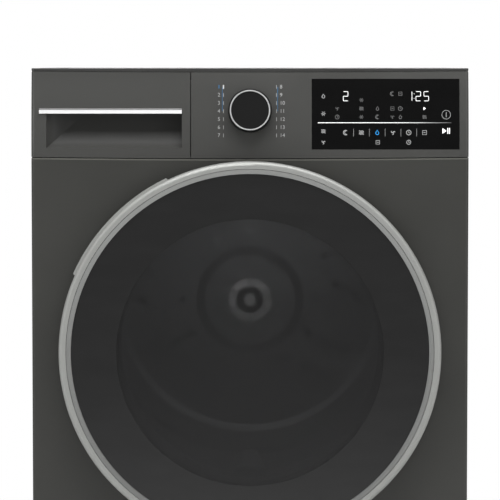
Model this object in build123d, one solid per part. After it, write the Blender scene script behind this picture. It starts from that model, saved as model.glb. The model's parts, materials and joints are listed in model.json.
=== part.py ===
"""Free-standing heat-pump tumble dryer, modelled as the pieces it is assembled from.

Millimetres. +Z is up, +X is to the right and -Y is towards the person in front of the machine.
The origin is on the floor, under the middle of the whole machine.
"""
import math
import os

from build123d import *

# ---------------------------------------------------------------- cabinet
width = 597.0               # side to side
height = 846.0              # floor to the top of the worktop
cabinet_depth = 575.0       # face of the front panel to the back of the rear panel
duct_bulge = 35.0           # how far the rear air duct stands out behind
door_proud = 40.0           # how far the door stands out in front
foot_gap = 15.0             # floor to the underside of the base
sheet = 1.0                 # cabinet sheet steel
moulding = 2.5              # wall of the plastic mouldings
flange = 14.0               # folded edge of a cabinet panel
corner_radius = 4.5         # upright front corners of the cabinet
seam_gap = 1.2              # open seam between neighbouring front panels
seat_gap = 0.3              # clearance round pieces that are dropped in
sheet_inset = 0.5           # rear panel and base inside the side panels
running_clearance = 0.06    # radial play of a pin or shaft in its bearing
bond_gap = 0.05             # between two pieces that are glued or riveted face to face
press_gap = 0.02            # round a pin or shaft that is pressed in

front_y = door_proud - (door_proud + cabinet_depth + duct_bulge) / 2
rear_y = front_y + cabinet_depth
back_y = rear_y + duct_bulge
half_width = width / 2

# ---------------------------------------------------------------- panels
kick_low = 18.0             # lower edge of the kick plate
kick_top = 118.0            # upper edge of the kick plate
seam_drop = 122.0           # worktop's top to the seam under the control fascia
fascia_drop = 3.5           # worktop's top to the fascia's upper edge, at its two ends
edge_sag = 2.0              # the fascia's long edges dip by this much in the middle
fascia_radius = 600.0       # upright curve of the fascia, which leans back towards its top
fascia_depth = 20.0         # folded depth of the fascia moulding
top_round = 3.0             # the fascia's two upper corners
worktop_thickness = 16.0
worktop_lip = 0.8           # the worktop's edge in front of the fascia's
press_depth = 2.0           # raised field in the side panels
field_margin = 60.0
field_corner = 45.0
seam_z = height - seam_drop
fascia_top = height - fascia_drop
fascia_low = seam_z + seam_gap
worktop_low = height - worktop_thickness

# ---------------------------------------------------------------- rear panel
bearing_radius = 22.0       # boss that carries the drum's shaft
bearing_reach = 11.0        # boss in front of and behind the rear panel
slot_margin = 59.0          # drum's outside to the outer end of the air slots
slot_length = 130.0
slot_half_angle = 10.0
slot_count = 12
louvre_rows = 6
louvre_pitch = 9.0
louvre_width = 110.0
louvre_height = 4.0

# ---------------------------------------------------------------- drum
base_height = 201.0         # floor to the drum's underside, room for the heat pump
head_height = 77.0          # drum's top to the worktop's top
drum_side_gap = 14.5        # drum to the outside of the cabinet
drum_sheet = 1.0
drum_front_gap = 90.0       # front panel's face to the drum's front ring
drum_back_gap = 14.0        # drum's back to the rear panel
drum_collar = 62.0          # width of the drum's front ring
collar_length = 16.0        # collar that runs on the felt
back_bead = 5.0             # raised beads in the drum's back
bead_slope = 10.0
shaft_radius = 10.0         # drum shaft
hub_radius = 35.0           # plate riveted to the drum's back
hub_thickness = 4.0
hub_hole_radius = 3.2
air_hole_radius = 6.5
paddle_height = 52.0
paddle_foot = 34.0          # half the width of a lifter at its foot
paddle_crest = 11.0         # half the width at its crest
paddle_wall = 4.0
felt_width = 14.0
drum_radius = min(half_width - drum_side_gap, (height - base_height - head_height) / 2)
drum_z = base_height + drum_radius
drum_front = front_y + drum_front_gap
drum_back_y = rear_y - sheet - drum_back_gap
collar_radius = drum_radius - drum_collar

# ---------------------------------------------------------------- door and loading mouth
door_drop = 25.0            # door's centre below the drum's axis
door_margin = 24.0          # the satin ring's outside is this much smaller than the drum
mouth_margin = 104.0        # and the clear loading mouth this much
ring_band = 9.8             # visible width of the outer ring
ring_wall = 4.0             # rim of the outer ring
ring_nose = 5.0             # rounding of its front edge
groove = 0.6                # dark line between the outer ring and the glass trim
trim_band = 6.4             # visible width of the inner, sloping trim ring
window_set_back = 3.5       # ring's front to the glass
window_thickness = 3.5
hinge_inset = 17.0          # upright hinge axis inside the ring's outer edge
hinge_set_back = 23.0       # hinge axis in front of the front panel
hinge_arm_spread = 32.0     # each hinge arm above or below the door's centre
hinge_arm_height = 12.0
hinge_arm_width = 5.5
hinge_eye_radius = 6.5
hinge_pin_radius = 3.0
hinge_plate_width = 18.0
hinge_plate_height = 100.0
hinge_plate_thickness = 2.0
door_z = drum_z - door_drop
door_radius = drum_radius - door_margin
mouth_radius = drum_radius - mouth_margin
panel_mouth_radius = mouth_radius + 20.0        # hole in the front panel
hinge_x = door_radius - hinge_inset
hinge_y = front_y - hinge_set_back
ring_front = front_y - door_proud
ring_rear = front_y - 16.0                      # back edge of the ring's rim
ring_inner = door_radius - ring_band
trim_outer = ring_inner - groove
glass_radius = trim_outer - trim_band
window_front = ring_front + window_set_back
window_back = window_front + window_thickness
frame_front = window_back + 0.2
frame_back = front_y - 4.0
frame_radius = door_radius - ring_wall - seat_gap
frame_bevel = 9.0           # slanting outer edge of the door's back
gasket_front = front_y - 6.0
gasket_inner = mouth_radius + 4.3
gasket_outer = mouth_radius + 16.0
gasket_land = gasket_outer + 6.0                # face of the door that the gasket meets
grip_start = 115.5          # handle tab, in degrees round the door from +X
grip_end = 156.0
tab_height = 3.0
hook_x = 28.0 - door_radius
hook_half_height = 8.0
hook_root = 12.0            # how deep the hook is seated in the door
hook_half_width = 4.0
bowl_wall = 3.5
bowl_radius = mouth_radius + 1.0
bowl_flange = bowl_radius + 9.0
bowl_floor = bowl_radius - 15.0                 # edge of the bowl's flat bottom
bowl_seat = frame_front + 4.8
bowl_depth = 32.0           # how far the bowl reaches past the door's back

# ---------------------------------------------------------------- drive
motor_side_gap = 123.5      # motor's axis to the outside of the cabinet
motor_z = 130.0
motor_radius = 55.0
motor_length = 145.0
motor_shield = 8.0          # each end shield
motor_shaft_radius = 6.0
pulley_radius = 9.0         # poly-V end of the motor shaft
pulley_ribs = 5
idler_reach = 57.0          # motor's axis to the idler's, across
idler_z = 142.0
idler_radius = 15.0
arm_reach = 115.0           # motor's axis to the tension arm's pivot, across
arm_pivot_z = 118.0
arm_pin_radius = 3.0
arm_pivot_radius = 4.0
arm_thickness = 5.0
belt_width = 9.0
belt_thickness = 1.8
belt_clearance = 0.3        # belt to the drum and pulleys that run in it
belt_ahead = 25.0           # belt's middle in front of the motor
roller_radius = 22.0        # rollers under the drum's front edge
roller_width = 18.0
roller_tread = 12.0
roller_angle = 30.0         # each roller from straight below the drum's axis
roller_pin_radius = 5.0
roller_boss_radius = 9.0

# ---------------------------------------------------------------- fan and rear duct
fan_radius = 62.0
fan_width = 50.0
fan_hub_radius = 15.0
fan_blades = 11
volute_radius = 80.0
duct_margin = 44.0          # rear duct inside the drum's outline
duct_edge_radius = 12.0
fan_port_radius = 48.0
fan_back = rear_y - 26.0
fan_front = fan_back - fan_width
volute_front = fan_front - 6.0
plenum_front = volute_front - 22.0
motor_back = plenum_front - 11.0
motor_front = motor_back - motor_length
motor_x = half_width - motor_side_gap
idler_x = motor_x - idler_reach
arm_pivot_x = motor_x - arm_reach
belt_y = motor_front - belt_ahead
arm_front = belt_y - belt_width / 2 - 6.0
arm_back = arm_front + arm_thickness
duct_radius = drum_radius - duct_margin
roller_front = drum_front + 5.0
roller_back = roller_front + roller_width

# ---------------------------------------------------------------- base
tray_wall = 3.0
tray_top = 100.0
tunnel_x = -55.0            # right wall of the heat exchangers' tunnel
tunnel_top = 160.0
foot_side_gap = 36.5        # foot's middle to the outside of the cabinet
foot_front_gap = 53.0       # front feet behind the front panel
foot_rear_gap = 32.0        # rear feet in front of the rear panel
foot_pad_radius = 20.0
foot_pad_height = 7.0
foot_hexagon_radius = 9.0
stud_radius = 5.0
socket_radius = 13.0
tray_front = front_y + 25.0
tray_back = rear_y - 4.0
tray_side = half_width - sheet - sheet_inset
tray_floor = foot_gap + tray_wall
exchanger_low = tray_floor + 16.0
foot_x = half_width - foot_side_gap
foot_front_y = front_y + foot_front_gap
foot_rear_y = rear_y - foot_rear_gap
bulkhead_low = tunnel_top + 1.0

# ---------------------------------------------------------------- service flap and cover lock
flap_side_gap = 16.5        # flap's left edge to the outside of the cabinet
flap_width = 244.0
flap_low = 27.0
flap_high = 109.0
flap_gap = 2.0
flap_thickness = 3.0
flap_rim = 6.0
flap_pin_radius = 2.5
flap_pin_reach = 4.0
flap_lug_width = 5.0
flap_left = flap_side_gap - half_width
flap_right = flap_left + flap_width
flap_pivot_y = front_y + 6.5
flap_pivot_z = flap_low + 4.6
lock_radius = 8.0
lock_lever_length = 48.0
lock_lever_width = 12.0
lock_x = 133.5 - half_width
lock_z = (exchanger_low + tray_top) / 2

# ---------------------------------------------------------------- heat pump
exchanger_length = 150.0    # each heat exchanger along the tunnel
exchanger_gap = 25.0        # between the two
fin_pitch = 17.0
fin_thickness = 1.2
compressor_side_gap = 148.5
compressor_front_gap = 165.0
compressor_radius = 58.0
compressor_top = 205.0
compressor_foot_radius = 9.0
bottle_radius = 20.0        # accumulator beside the compressor
bottle_side = 40.0
bottle_ahead = 66.0
pipe_radius = 4.0
pipe_bend = 14.0
pump_width = 70.0
pump_length = 57.0
pump_height = 40.0
pump_head_radius = 22.0
pump_head_height = 22.0
pump_outlet_radius = 5.5
pump_outlet_length = 20.0
hose_radius = 4.5
hose_bend = 26.0
spigot_x = 68.5 - half_width
spigot_z = 150.0
spigot_radius = 9.0
spigot_length = 28.0
spigot_wall = 2.0
spigot_plate_radius = 16.0
compressor_x = half_width - compressor_side_gap
compressor_y = front_y + compressor_front_gap
bottle_x = compressor_x + bottle_side
bottle_y = compressor_y - bottle_ahead
bottle_top = compressor_top - 45.0
evaporator_front = tray_front + 20.0
condenser_front = evaporator_front + exchanger_length + exchanger_gap
pump_x = 5.0
pump_y = tray_back - 38.0
hose_x = pump_x - 25.0
hose_y = tray_back - 28.0

# ---------------------------------------------------------------- controls
dial_drop = 58.5            # worktop's top to the dial's centre
dial_radius = 29.75
dial_height = 16.0
dial_groove = 1.5           # depth of the groove that holds the bright ring
dial_edge = 1.4             # slanting edge of the knob's face
dial_ring_radius = 26.7
dial_ring_half = 1.1        # half the width of the bright ring
dial_stem_radius = 9.0
dial_shaft_radius = 3.0
display_width = 201.1
display_height = 95.7
display_side_gap = 13.0     # display's right edge to the outside of the cabinet
display_drop = 14.7         # worktop's top to the display's upper edge
display_glass = 2.0
module_left = -30.0
mains_x = half_width - 58.5
mains_z = height - 71.0
gland_radius = 9.0
gland_bore = 4.5
bracket_gap = 30.0          # front panel's fold to the cross-member behind the fascia
dial_z = height - dial_drop
display_right = half_width - display_side_gap
display_left = display_right - display_width
display_high = height - display_drop
display_low = display_high - display_height
bracket_y = front_y + flange + sheet + bracket_gap

# ---------------------------------------------------------------- condensate tank
tank_front_width = 217.5    # tank front, with half of its seam
tank_side_gap = 20.5        # tank's left side to the outside of the cabinet
tank_width = 185.0
tank_front_gap = 30.0       # tank's body behind the front panel's face
tank_drop = 20.0            # worktop's top to the tank's top
tank_height = 84.0
tank_rear_gap = 75.0        # tank's end to the rear panel
tank_wall = 2.0
tank_arc_gap = 12.0         # drum shell to the tank's underside
filler_radius = 16.0
bay_clearance = 0.6
grip_depth = 26.0           # finger recess in the tank's front
grip_height = 46.5
grip_run_out = 52.0         # where its floor runs out to the left
grip_drop = 62.0            # worktop's top to the recess's upper edge
strip_height = 7.1
strip_proud = 2.2
strip_overhang = 9.7        # bright bar past the recess's left end
tank_seam_x = tank_front_width - half_width
tank_left = tank_side_gap - half_width
tank_right = tank_left + tank_width
tank_high = height - tank_drop
tank_low = tank_high - tank_height
tank_front_y = front_y + tank_front_gap
tank_back_y = rear_y - tank_rear_gap
grip_left = tank_left
grip_bend = grip_left + grip_run_out
grip_right = tank_right
grip_high = height - grip_drop
grip_low = grip_high - grip_height

# ---------------------------------------------------------------- lint filter and its pocket
filter_half_width = 88.0
filter_edge = 8.0           # end of the barred windows to the filter's side
filter_low = 168.0
filter_thickness = 29.0
filter_wall = 2.0
filter_window_height = 38.0
filter_bar = 5.0
filter_grip_width = 44.0
pocket_clearance = 3.0
pocket_wall = 3.5
bulkhead_thickness = 4.0
seat_wall = 4.0             # ring that carries the front felt
filter_window_width = 2 * (filter_half_width - filter_edge - filter_bar) / 3
filter_front = front_y + 35.0
filter_back = filter_front + filter_thickness
pocket_front = filter_front - pocket_clearance
bulkhead_front = filter_back + pocket_clearance + 2.0
bulkhead_back = bulkhead_front + bulkhead_thickness
pocket_back = bulkhead_front - 1.5


# ================================================================ shared shapes
def block(x0, x1, y0, y1, z0, z1):
    """Box between two opposite corners."""
    return Pos((x0 + x1) / 2, (y0 + y1) / 2, (z0 + z1) / 2) * Box(x1 - x0, y1 - y0, z1 - z0)


def rod(x, z, radius, y0, y1):
    """Cylinder that lies along Y."""
    return Pos(x, (y0 + y1) / 2, z) * Rot(90, 0, 0) * Cylinder(radius, y1 - y0)


def post(x, y, radius, z0, z1):
    """Upright cylinder."""
    return Pos(x, y, (z0 + z1) / 2) * Cylinder(radius, z1 - z0)


def bar(y, z, radius, x0, x1):
    """Cylinder that lies along X."""
    return Pos((x0 + x1) / 2, y, z) * Rot(0, 90, 0) * Cylinder(radius, x1 - x0)


def outline_face(points):
    """Flat face inside a closed run of straight lines."""
    return make_face(Polyline(*points, close=True))


def turned(points, z, x=0.0):
    """Body turned about the Y line through (x, z); each point is (radius, y)."""
    return Pos(x, 0, z) * revolve(outline_face(points), Axis.Y)


def turned_upright(points, x, y):
    """Body turned about the upright line through (x, y); each point is (radius, z)."""
    return Pos(x, y, 0) * revolve(Plane.XZ * outline_face(points), Axis.Z)


def prism(face, plane, length):
    """Prism that stands on the plane's positive side."""
    solids = []
    for flat in (plane * face).faces():
        facing = flat if flat.normal_at().dot(plane.z_dir) > 0 else -flat
        solids.append(Solid.extrude(facing, plane.z_dir * length))
    return Part() + solids


def along_x(face, x0, x1):
    """Prism along X from a face drawn in (y, z)."""
    return prism(face, Plane.YZ.offset(x0), x1 - x0)


def along_y(face, y0, y1):
    """Prism along Y from a face drawn in (x, z)."""
    return prism(face, Plane.XZ.offset(-y1), y1 - y0)


def along_z(face, z0, z1):
    """Upright prism from a face drawn in (x, y)."""
    return prism(face, Plane.XY.offset(z0), z1 - z0)


def rounded_block(x0, x1, y0, y1, z0, z1, radius):
    """Box with rounded upright edges on its front."""
    body = block(x0, x1, y0, y1, z0, z1)
    front_edges = body.edges().filter_by(Axis.Z).group_by(Axis.Y)[0]
    return fillet(front_edges, radius)


def beyond_bow(z, reach, y0, y1):
    """Everything within reach of a long bowed edge, above it, or below it if reach is negative.

    The edge is a parabola across the cabinet. It is at height z at the cabinet's two sides and
    dips by edge_sag in the middle.
    """
    wide = half_width + flange
    rise = edge_sag * ((wide / half_width) ** 2 - 1)
    bow = Bezier((-wide, z + rise), (0, z - 2 * edge_sag - rise), (wide, z + rise))
    rest = Polyline((wide, z + rise), (wide, z + reach), (-wide, z + reach), (-wide, z + rise))
    return along_y(make_face([bow, rest]), y0, y1)


def fascia_y(z):
    """Front face of the fascia at height z: upright at the seam, leaning back above it."""
    return front_y + fascia_radius - math.sqrt(fascia_radius ** 2 - (z - seam_z) ** 2)


def fascia_slab(x0, x1, z0, z1, near, far):
    """Stretch of the fascia from near to far behind its curved front face."""
    middle = (z0 + z1) / 2
    front_arc = ThreePointArc(*[(fascia_y(z) + near, z) for z in (z0, middle, z1)])
    back_line = Polyline((fascia_y(z1) + near, z1), (front_y + far, z1), (front_y + far, z0),
                         (fascia_y(z0) + near, z0))
    return along_x(make_face([front_arc, back_line]), x0, x1)


def fascia_skin(x0, x1, z0, z1, near, far):
    """Curved sheet of the fascia between two surfaces that run parallel to its front."""
    behind = fascia_slab(x0 - 1, x1 + 1, z0 - 1, z1 + 1, far, fascia_depth + far)
    return fascia_slab(x0, x1, z0, z1, near, fascia_depth) - behind


def ring_face(outer, inner):
    """Flat ring."""
    return Circle(outer) - Circle(inner)


def sector(inner, outer, start, end):
    """Flat piece of a ring between two angles, in degrees from +X."""
    middle = (start + end) / 2
    reach = outer * 1.5
    wedge = outline_face([
        (0, 0),
        (reach * math.cos(math.radians(start)), reach * math.sin(math.radians(start))),
        (reach * math.cos(math.radians(middle)), reach * math.sin(math.radians(middle))),
        (reach * math.cos(math.radians(end)), reach * math.sin(math.radians(end))),
    ])
    return ring_face(outer, inner) & wedge


def around(shape, count, z, x=0.0):
    """Copies of a shape turned evenly about the Y line through (x, z)."""
    centre = Axis((x, 0, z), (0, 1, 0))
    return [shape.rotate(centre, turn * 360 / count) for turn in range(count)]


# ================================================================ cabinet
def worktop():
    """Slab with a thin front lip that reaches over the top of the fascia."""
    lip_front = fascia_y(fascia_top) - worktop_lip
    lip_back = front_y + fascia_depth + seam_gap
    slab = block(-half_width, half_width, lip_front, rear_y, worktop_low, height)
    slab = fillet(slab.edges().filter_by(Axis.Z), corner_radius)
    slab = fillet(slab.faces().sort_by(Axis.Z)[-1].edges(), sheet)
    return slab - beyond_bow(fascia_top + seat_gap, -4 * flange, lip_front - flange, lip_back)


def side_panel_right():
    """Pressed sheet with folded front, rear and top edges and a shallow stiffening field."""
    field_low = tray_top + 40.0
    field_high = seam_z - 2 * flange
    outside = half_width
    y0 = front_y + flange + seat_gap
    y1 = rear_y - sheet
    panel = block(outside - flange, outside, y0, y1, foot_gap, worktop_low)
    panel -= block(outside - 2 * flange, outside - sheet, y0 + sheet, y1 - sheet,
                   foot_gap - flange, worktop_low - sheet)

    panel -= block(outside - 2 * flange, outside + 1, y0 - 1, front_y + fascia_depth + seat_gap,
                   seam_z + seat_gap, height)

    def field(x0, x1, grow):
        """Rounded field of the pressing between two planes."""
        shape = RectangleRounded(y1 - y0 - 2 * field_margin + 2 * grow,
                                 field_high - field_low + 2 * grow, field_corner + grow)
        return along_x(Pos((y0 + y1) / 2, (field_low + field_high) / 2) * shape, x0, x1)

    panel += field(outside - press_depth - sheet, outside - sheet / 2, sheet)
    return panel - field(outside - press_depth, outside + sheet, 0)


def rear_panel():
    """Back sheet with the drum's bearing, its air slots and the ventilation louvres."""
    slot_outer = drum_radius - slot_margin
    slot_inner = slot_outer - slot_length
    side = half_width - sheet_inset
    panel = block(-side, side, rear_y - sheet, rear_y,
                  foot_gap, worktop_low)
    slot = along_y(sector(slot_inner, slot_outer, 90 - slot_half_angle, 90 + slot_half_angle),
                   rear_y - flange, rear_y + flange)
    panel -= around(Pos(0, 0, drum_z) * slot, slot_count, drum_z)
    panel -= rod(motor_x, motor_z, fan_port_radius, rear_y - flange, rear_y + flange)
    louvre = Rectangle(louvre_width, louvre_height)
    for row in range(louvre_rows):
        low_left = Pos(lock_x, flap_low + 2 * flange + row * louvre_pitch) * louvre
        panel -= along_y(low_left, rear_y - flange, rear_y + flange)
    panel += rod(0, drum_z, bearing_radius, rear_y - sheet - bearing_reach, rear_y + bearing_reach)
    return panel - rod(0, drum_z, shaft_radius + running_clearance, rear_y - 3 * flange,
                       rear_y + 3 * flange)


def duct_outline(shrink):
    """Round duct behind the drum, joined to the fan's port low on the right."""
    round_part = Pos(0, drum_z) * Circle(duct_radius - shrink)
    fan_part = Pos(motor_x, motor_z) * Circle(volute_radius - shrink)
    return make_hull(round_part.edges() + fan_part.edges())


def rear_duct_cover():
    """Shallow dish screwed on behind, which leads warm air from the fan to the drum."""
    def dish(shrink, y0, y1):
        """Plain dish between two planes, with its rear edge rounded."""
        body = along_y(duct_outline(shrink), y0, y1)
        return fillet(body.faces().sort_by(Axis.Y)[-1].edges(), duct_edge_radius - shrink)

    return dish(0, rear_y, back_y) - dish(moulding, rear_y - flange, back_y - moulding)


def front_panel():
    """Front sheet with folded edges and the round hole behind the door."""
    low = kick_top + seam_gap
    collar_depth = 8.0
    panel = rounded_block(-half_width, half_width, front_y, front_y + flange,
                          low, seam_z + edge_sag, corner_radius)
    panel -= beyond_bow(seam_z, flange, front_y - flange, front_y + 2 * flange)
    inside = rounded_block(-half_width + sheet, half_width - sheet, front_y + sheet,
                           front_y + 2 * flange, low + sheet, seam_z, corner_radius - sheet)
    inside -= beyond_bow(seam_z - sheet, flange, front_y - flange, front_y + 3 * flange)
    panel -= inside
    panel += rod(0, door_z, panel_mouth_radius + sheet, front_y + sheet / 2, front_y + collar_depth)
    panel -= rod(0, door_z, panel_mouth_radius, front_y - flange, front_y + 2 * flange)
    slot_half_height = hook_half_height + 4.0
    return panel - block(hook_x - hook_half_width - 0.5, hook_x + 2 * hook_half_width,
                         front_y - flange, front_y + flange,
                         door_z - slot_half_height, door_z + slot_half_height)


def kick_plate():
    """Bottom front sheet with the opening that the service flap closes."""
    plate = rounded_block(-half_width, half_width, front_y, front_y + flange,
                          kick_low, kick_top, corner_radius)
    plate -= rounded_block(-half_width + sheet, half_width - sheet, front_y + sheet,
                           front_y + 2 * flange, kick_low + sheet, kick_top - sheet,
                           corner_radius - sheet)
    plate -= block(flap_left - flap_gap, flap_right + flap_gap, front_y - flange, front_y + sheet * 2,
                   flap_low - flap_gap, flap_high + flap_gap)
    lug_half = 6.0
    for x in (flap_left - flap_gap - flap_lug_width, flap_right + flap_gap):
        plate += block(x, x + flap_lug_width, front_y + sheet / 2, front_y + flange,
                       kick_low + sheet / 2, flap_pivot_z + lug_half)
    return plate - bar(flap_pivot_y, flap_pivot_z, flap_pin_radius + running_clearance,
                       flap_left - 2 * flap_lug_width, flap_right + 2 * flap_lug_width)


def service_flap():
    """Flap in front of the heat exchanger, on two moulded pins at its lower corners."""
    flap = block(flap_left, flap_right, front_y, front_y + flap_rim, flap_low, flap_high)
    flap = fillet(flap.edges().filter_by(Axis.Y), 2.0)
    flap -= block(flap_left + moulding, flap_right - moulding, front_y + flap_thickness,
                  front_y + 2 * flap_rim, flap_low + 3 * moulding, flap_high - moulding)
    for x0, x1 in ((flap_left, flap_left + 2 * moulding), (flap_right - 2 * moulding, flap_right)):
        flap += block(x0, x1, front_y + moulding, flap_pivot_y + flap_pin_radius + 0.5,
                      flap_low + 1, flap_pivot_z + flap_pin_radius + 1)
    flap += bar(flap_pivot_y, flap_pivot_z, flap_pin_radius, flap_left - flap_gap - flap_pin_reach,
                flap_left + moulding)
    flap += bar(flap_pivot_y, flap_pivot_z, flap_pin_radius, flap_right - moulding,
                flap_right + flap_gap + flap_pin_reach)
    return flap


# ================================================================ control fascia and tank front
def fascia_shell(x0, x1, round_left, round_right):
    """Hollow stretch of the fascia with folded edges, open behind."""
    deep = 2 * fascia_depth
    body = fascia_slab(x0, x1, fascia_low - 2 * edge_sag, fascia_top + edge_sag, 0, fascia_depth)
    arcs = body.edges().filter_by(GeomType.CIRCLE).group_by(Axis.X)
    if round_left:
        body = fillet(arcs[0], corner_radius)
    if round_right:
        body = fillet(arcs[-1], corner_radius)
    body -= beyond_bow(fascia_top, flange, front_y - flange, front_y + deep)
    body -= beyond_bow(fascia_low, -flange, front_y - flange, front_y + deep)
    corner = block(half_width - top_round, half_width + 1, front_y - flange, front_y + deep,
                   fascia_top - top_round, fascia_top + 2 * edge_sag)
    corner -= rod(half_width - top_round, fascia_top - top_round, top_round, front_y - deep,
                  front_y + 2 * deep)
    if round_left:
        body -= mirror(corner, Plane.YZ)
    if round_right:
        body -= corner
    inside = fascia_slab(x0 + moulding, x1 - moulding, fascia_low - edge_sag,
                         fascia_top + edge_sag, moulding, deep)
    inside -= beyond_bow(fascia_top - moulding, flange, front_y - flange, front_y + 2 * deep)
    inside -= beyond_bow(fascia_low + moulding, -flange, front_y - flange, front_y + 2 * deep)
    return body - inside


def dial_frame():
    """Place of the dial: its outward axis stands square on the curved fascia."""
    lean = math.degrees(math.asin((dial_z - seam_z) / fascia_radius))
    return Pos(0, fascia_y(dial_z), dial_z) * Rot(90 - lean, 0, 0)


def control_fascia():
    """Fascia to the right of the tank, with the dial's hole and the display's recess."""
    stem_hole = 12.0
    body = fascia_shell(tank_seam_x + seam_gap / 2, half_width, False, True)
    backing = fascia_skin(display_left - moulding, display_right + moulding, display_low - moulding,
                          display_high + moulding, moulding / 2, display_glass + moulding)
    body += backing
    recess = fascia_skin(display_left - seat_gap, display_right + seat_gap, display_low - seat_gap,
                         display_high + seat_gap, -1, display_glass + bond_gap)
    body -= recess
    return body - dial_frame() * Cylinder(stem_hole, 4 * moulding)


def display_window():
    """Dark glass set flush into the fascia."""
    return fascia_skin(display_left, display_right, display_low, display_high, 0, display_glass)


def grip_form(grow):
    """Finger recess: a quarter-ellipse trough whose left end runs out in a second ellipse."""
    depth = grip_depth + grow
    drop = grip_high - grip_low + grow
    run_out = grip_bend - grip_left + grow
    trough = EllipticalCenterArc((front_y, grip_high), depth, drop, start_angle=-90, arc_size=90)
    ceiling = [(front_y + depth, grip_high + grow)] if grow else []
    outline = Polyline((front_y + depth, grip_high), *ceiling, (front_y - flange, grip_high + grow),
                       (front_y - flange, grip_high - drop), (front_y, grip_high - drop))
    straight = along_x(make_face([trough, outline]), grip_left - flange, grip_right + grow)
    ramp = EllipticalCenterArc((grip_bend, front_y), run_out, depth, start_angle=90, arc_size=90)
    plan = Polyline((grip_bend - run_out, front_y), (grip_bend - run_out, front_y - 2 * flange),
                    (grip_right + 2 * grow, front_y - 2 * flange), (grip_right + 2 * grow, front_y + depth),
                    (grip_bend, front_y + depth))
    return straight & along_z(make_face([ramp, plan]), grip_low - flange, grip_high + flange)


def tank_front():
    """Drawer front of the condensate tank with its moulded finger recess."""
    body = fascia_shell(-half_width, tank_seam_x - seam_gap / 2, True, False)
    behind = fascia_slab(grip_left - flange, grip_right + flange, fascia_low + 2 * moulding,
                         grip_high + moulding, moulding / 2, 2 * grip_depth)
    body += grip_form(moulding) & behind
    return body - grip_form(0)


def tank_handle_strip():
    """Bright bar above the finger recess."""
    z0 = grip_high + seat_gap
    z1 = z0 + strip_height
    y_low = fascia_y(z0)
    y_high = fascia_y(z1)
    off_face = 0.1
    shoulder = (y_high - 0.75 * strip_proud, z1 - 0.35 * strip_height)
    outline = outline_face([(y_high - off_face, z1), shoulder, (y_low - strip_proud, z0),
                            (y_low - off_face, z0)])
    return along_x(outline, grip_left - strip_overhang, grip_right)


def tank_outline(shrink, arc_gap):
    """Section of the tank: its underside follows the round of the drum below it."""
    body = outline_face([(tank_left + shrink, tank_low + shrink), (tank_right - shrink, tank_low + shrink),
                         (tank_right - shrink, tank_high - shrink),
                         (tank_left + shrink, tank_high - shrink)])
    return body - Pos(0, drum_z) * Circle(drum_radius + arc_gap)


def tank_body():
    """Hollow tank that carries the condensate, with its filler hole in the top."""
    y0 = tank_front_y
    y1 = tank_back_y
    body = along_y(tank_outline(0, tank_arc_gap), y0, y1)
    body -= along_y(tank_outline(tank_wall, tank_arc_gap + tank_wall), y0 + tank_wall, y1 - tank_wall)
    filler_x = tank_left + 60.0
    filler_y = y1 - 45.0
    filler = post(filler_x, filler_y, filler_radius, tank_high - 3 * tank_wall, tank_high + flange)
    return body - filler


def tank_bay():
    """Open-topped tray that the tank slides in, hung between bracket and rear panel."""
    y0 = tank_front_y + 0.5
    y1 = rear_y - sheet
    grow = bay_clearance + tank_wall
    outer = along_y(tank_outline(-grow, tank_arc_gap - grow), y0, y1)
    inner = along_y(tank_outline(-bay_clearance, tank_arc_gap - bay_clearance), y0 - flange,
                    y1 - tank_wall)
    above = block(tank_left - flange, tank_right + flange, y0 - flange, y1 + flange,
                  tank_high - tank_wall, height)
    return outer - inner - above


def fascia_bracket():
    """Cross-member behind the fascia: a folded sheet with an opening for the tank."""
    y0 = bracket_y
    top = worktop_low - sheet - seat_gap
    inner_side = half_width - sheet - seat_gap
    frame = block(-inner_side, inner_side, y0, y0 + flange, seam_z - flange, top)
    frame -= block(-inner_side + sheet, inner_side - sheet, y0 + sheet, y0 + 2 * flange,
                   seam_z - flange + sheet, top - sheet)
    grow = bay_clearance + tank_wall + seat_gap
    window = block(tank_left - grow, tank_right + grow, y0 - flange, y0 + 2 * flange,
                   tank_low - grow, height)
    return frame - window


def control_module():
    """Electronics housing behind the fascia, with the collar that carries the dial's shaft."""
    z0 = display_low - 4
    z1 = display_high - 6
    y0 = front_y + fascia_depth + seat_gap
    body = block(module_left, display_right, y0, bracket_y, z0, z1)
    body = fillet(body.edges().filter_by(Axis.Y), 4.0)
    sleeve_radius = 8.0
    sleeve_length = 20.0
    sleeve_middle = -14.0
    bore_length = 44.0
    bore_middle = -20.0
    body += dial_frame() * Pos(0, 0, sleeve_middle) * Cylinder(sleeve_radius, sleeve_length)
    bore = Cylinder(dial_shaft_radius + running_clearance, bore_length)
    return body - dial_frame() * Pos(0, 0, bore_middle) * bore


def dial_knob():
    """Programme knob with its stem, turned about its own axis and set on the fascia."""
    fascia_rise = 0.9
    face_recess = 0.8
    shaft_length = 22.0
    back = fascia_rise + seat_gap
    ring_in = dial_ring_radius - dial_ring_half
    ring_out = dial_ring_radius + dial_ring_half
    groove_floor = dial_height - dial_groove
    face = dial_height - face_recess
    outline = [(0, -moulding), (dial_stem_radius, -moulding), (dial_stem_radius, back),
               (dial_radius, back), (dial_radius, dial_height - 3 * dial_edge),
               (dial_radius - dial_edge, dial_height), (ring_out, dial_height),
               (ring_out, groove_floor), (ring_in, groove_floor), (ring_in, face), (0, face)]
    knob = revolve(Plane.XZ * outline_face(outline), Axis.Z)
    shaft = Pos(0, 0, -shaft_length / 2) * Cylinder(dial_shaft_radius, shaft_length)
    return dial_frame() * (knob + shaft)


def dial_ring():
    """Thin bright ring let into the knob's face."""
    crest_half = 0.6 * dial_ring_half
    crest = dial_height + 0.4
    root = dial_height - dial_groove
    outline = [(dial_ring_radius - dial_ring_half, root), (dial_ring_radius + dial_ring_half, root),
               (dial_ring_radius + crest_half, crest), (dial_ring_radius - crest_half, crest)]
    return dial_frame() * revolve(Plane.XZ * outline_face(outline), Axis.Z)


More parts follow.
